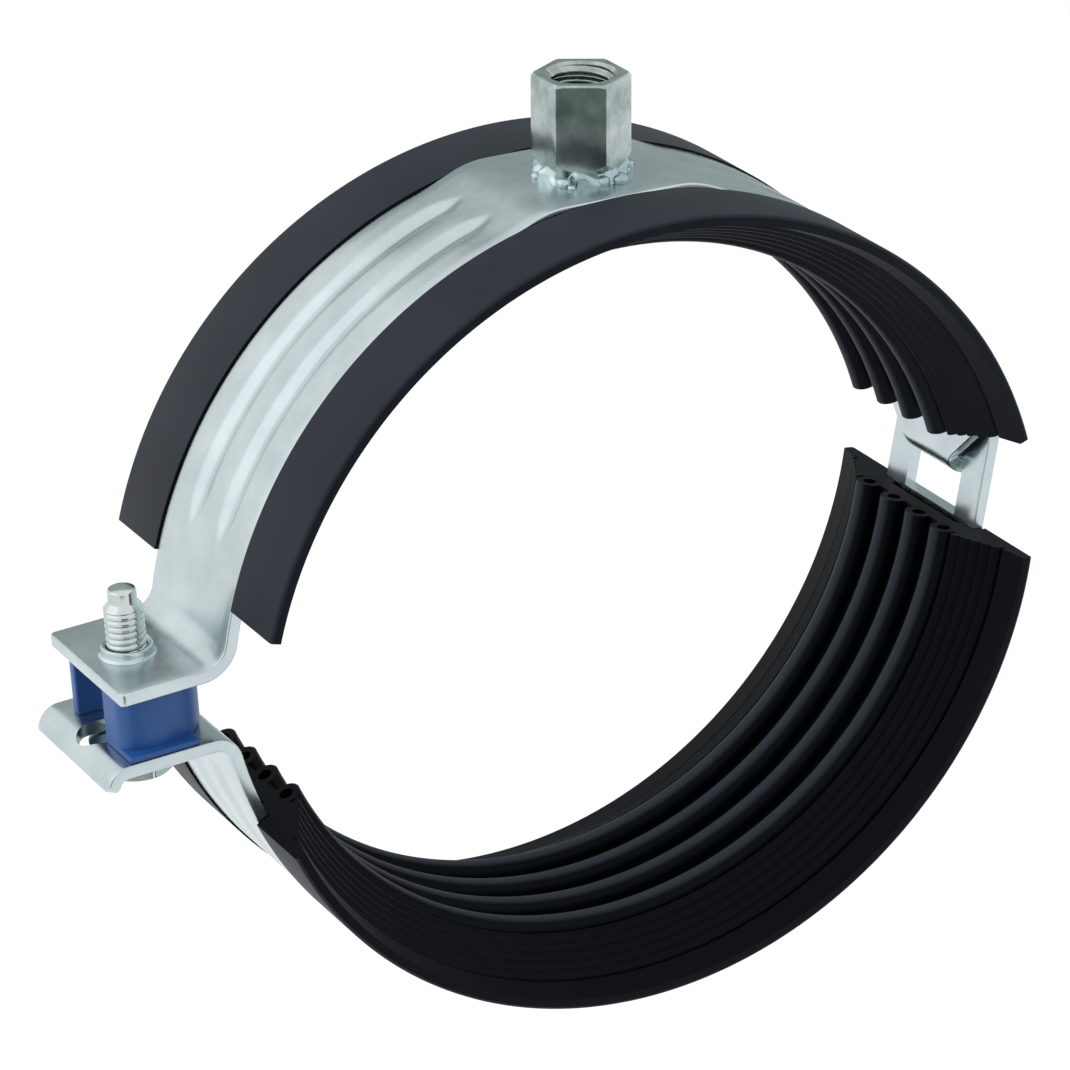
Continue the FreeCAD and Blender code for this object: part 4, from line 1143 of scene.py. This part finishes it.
to_camera = Vector((math.sin(BEARING) * math.cos(HEIGHT), -math.cos(BEARING) * math.cos(HEIGHT),
                    math.sin(HEIGHT)))
level_right = Vector((math.cos(BEARING), math.sin(BEARING), 0))
level_up = to_camera.cross(level_right)
right = level_right * math.cos(ROLL) + level_up * math.sin(ROLL)
up = level_up * math.cos(ROLL) - level_right * math.sin(ROLL)
camera_data = bpy.data.cameras.new("camera")
camera_data.sensor_width = SENSOR_MM
camera_data.lens = LENS_MM
camera_data.clip_start = CLIP_NEAR
camera = bpy.data.objects.new("camera", camera_data)
turn = Matrix((right, up, to_camera)).transposed().to_4x4()
camera.matrix_world = Matrix.Translation(to_camera * DISTANCE - right * PAN[0] - up * PAN[1]) @ turn
bpy.context.scene.collection.objects.link(camera)
bpy.context.scene.camera = camera
print("camera at", [round(value, 3) for value in camera.matrix_world.translation])

# %% [markdown]
# A product shot of bright metal is mostly a picture of what stands round it. Two soft boxes at the
# sides and one above make the pale faces. Metal already mirrors the white room, so the big boxes
# are kept out of mirrors, and one faint glow at the left adds the soft highlights on the beads.

# %% Lamps
def soft_box(name, place, size, power, mirrored=False):
    """Area lamp at a place in metres, turned to the clamp, with its power in watts."""
    data = bpy.data.lights.new(name, "AREA")
    data.shape = "RECTANGLE"
    data.size, data.size_y = size
    data.energy = power
    lamp = bpy.data.objects.new(name, data)
    lamp.location = place
    lamp.rotation_euler = (-Vector(place)).to_track_quat("-Z", "Y").to_euler()
    lamp.visible_glossy = mirrored
    bpy.context.scene.collection.objects.link(lamp)
    print("lamp", name, power, "W")


soft_box("left_soft_box", (-1.0, 0.1, 0.6), (1.7, 1.6), 9)
soft_box("top_soft_box", (0.0, 0.1, 1.2), (1.8, 1.4), 8)
soft_box("right_soft_box", (0.9, -0.8, 0.6), (1.0, 1.0), 4)
soft_box("left_glow", (-0.9, 0.3, 0.7), (1.2, 1.2), 1.6, mirrored=True)

# %% [markdown]
# The floor is far below, because the clamp hangs from its nut. It is pale paper for the light that
# falls on it and bounces on. For the rays that show it to the eye, it is a darker paper with a glow
# on top. The sum looks white, the object's shadow still shows in the paper's part, and no more
# light reaches the object.

# %% Floor
def flat_square(name, centre, side_x, side_y):
    """One flat face that lies level about its centre, in metres."""
    half_x, half_y = side_x / 2, side_y / 2
    mesh = bpy.data.meshes.new(name)
    corners = [(-half_x, -half_y, 0), (half_x, -half_y, 0), (half_x, half_y, 0), (-half_x, half_y, 0)]
    mesh.from_pydata(corners, [], [(0, 1, 2, 3)])
    piece = bpy.data.objects.new(name, mesh)
    piece.location = centre
    bpy.context.scene.collection.objects.link(piece)
    return piece


def seen_ray(tree):
    """1 for rays that show a surface to the eye, direct, mirrored or through glass, otherwise 0."""
    rays = node(tree, "ShaderNodeLightPath")
    shown = node(tree, "ShaderNodeMath", {0: (rays, "Is Camera Ray"), 1: (rays, "Is Glossy Ray")},
                 operation="MAXIMUM")
    return node(tree, "ShaderNodeMath", {0: (shown, "Value"), 1: (rays, "Is Transmission Ray")},
                operation="MAXIMUM")


FLOOR_DROP = 0.30
FLOOR_SIDE = 12
PAPER_SHADE = 0.22
PAPER_GLOW = 0.86
floor = flat_square("floor", (0, 0, solid_box[0][2] - FLOOR_DROP), FLOOR_SIDE, FLOOR_SIDE)
floor_paper, tree = finish_named("white_floor_paper")
paper = node(tree, "ShaderNodeBsdfDiffuse", Color=colour("#E9EBEC"))
shaded = node(tree, "ShaderNodeBsdfDiffuse", Color=grey(PAPER_SHADE))
glow = node(tree, "ShaderNodeEmission", Color=grey(1.0), Strength=PAPER_GLOW)
white = node(tree, "ShaderNodeAddShader", {0: (shaded, "BSDF"), 1: (glow, "Emission")})
links = {"Fac": (seen_ray(tree), "Value"), 1: (paper, "BSDF"), 2: (white, "Shader")}
shown = node(tree, "ShaderNodeMixShader", links)
node(tree, "ShaderNodeOutputMaterial", {"Surface": (shown, "Shader")})
floor.data.materials.append(floor_paper)
print("floor at", round(floor.location.z, 3), "m")

# %% [markdown]
# A photographer gives bright metal its dark tones with cards. A grey one stands behind, to the
# right, where the flat under the nut and the ears look, and a darker one stands low in front, where
# the nut's front face looks. Both glow with a plain grey, so that they keep their tone whatever the
# lamps do, and no camera sees them.

# %% Cards
def card(name, centre, size, code):
    """Glowing card that faces the clamp and shows only in mirrors and as light."""
    made = flat_square(name, centre, *size)
    made.rotation_euler = (-Vector(centre)).to_track_quat("Z", "Y").to_euler()
    made.visible_camera = False
    made.visible_shadow = False
    paint, tree = finish_named(name + "_paint")
    light = node(tree, "ShaderNodeEmission", Color=colour(code), Strength=1.0)
    node(tree, "ShaderNodeOutputMaterial", {"Surface": (light, "Emission")})
    made.data.materials.append(paint)
    print("card", name, code)


card("grey_card", (0.56, 0.95, 0.3), (1.35, 1.1), "#A3ADAB")
card("dark_card", (-0.19, -0.33, -0.09), (0.24, 0.24), "#7A8482")

# %% [markdown]
# The world is the white room. It lights the object with a weak, cool fill, so that no shadow turns
# black, and it is plain white for the rays that show it to the eye, direct or in the metal. The
# view transform is Standard, so that a colour renders about as it is written.

# %% World
FILL_LIGHT = 0.55

world = bpy.data.worlds.new("studio")
bpy.context.scene.world = world
world.use_nodes = True
tree = world.node_tree
tree.nodes.clear()
fill = node(tree, "ShaderNodeBackground", Color=colour("#E6ECF2"), Strength=FILL_LIGHT)
white = node(tree, "ShaderNodeBackground", Color=grey(1.0), Strength=1.0)
links = {"Fac": (seen_ray(tree), "Value"), 1: (fill, "Background"), 2: (white, "Background")}
mixed = node(tree, "ShaderNodeMixShader", links)
node(tree, "ShaderNodeOutputWorld", {"Surface": (mixed, "Shader")})

view = bpy.context.scene.view_settings
view.view_transform = "Standard"
print("world fill", FILL_LIGHT, "view", view.view_transform)

# %% [markdown]
# Last, the box round the solids is printed.

# %% Box of the solids
print("solids", solid_box)
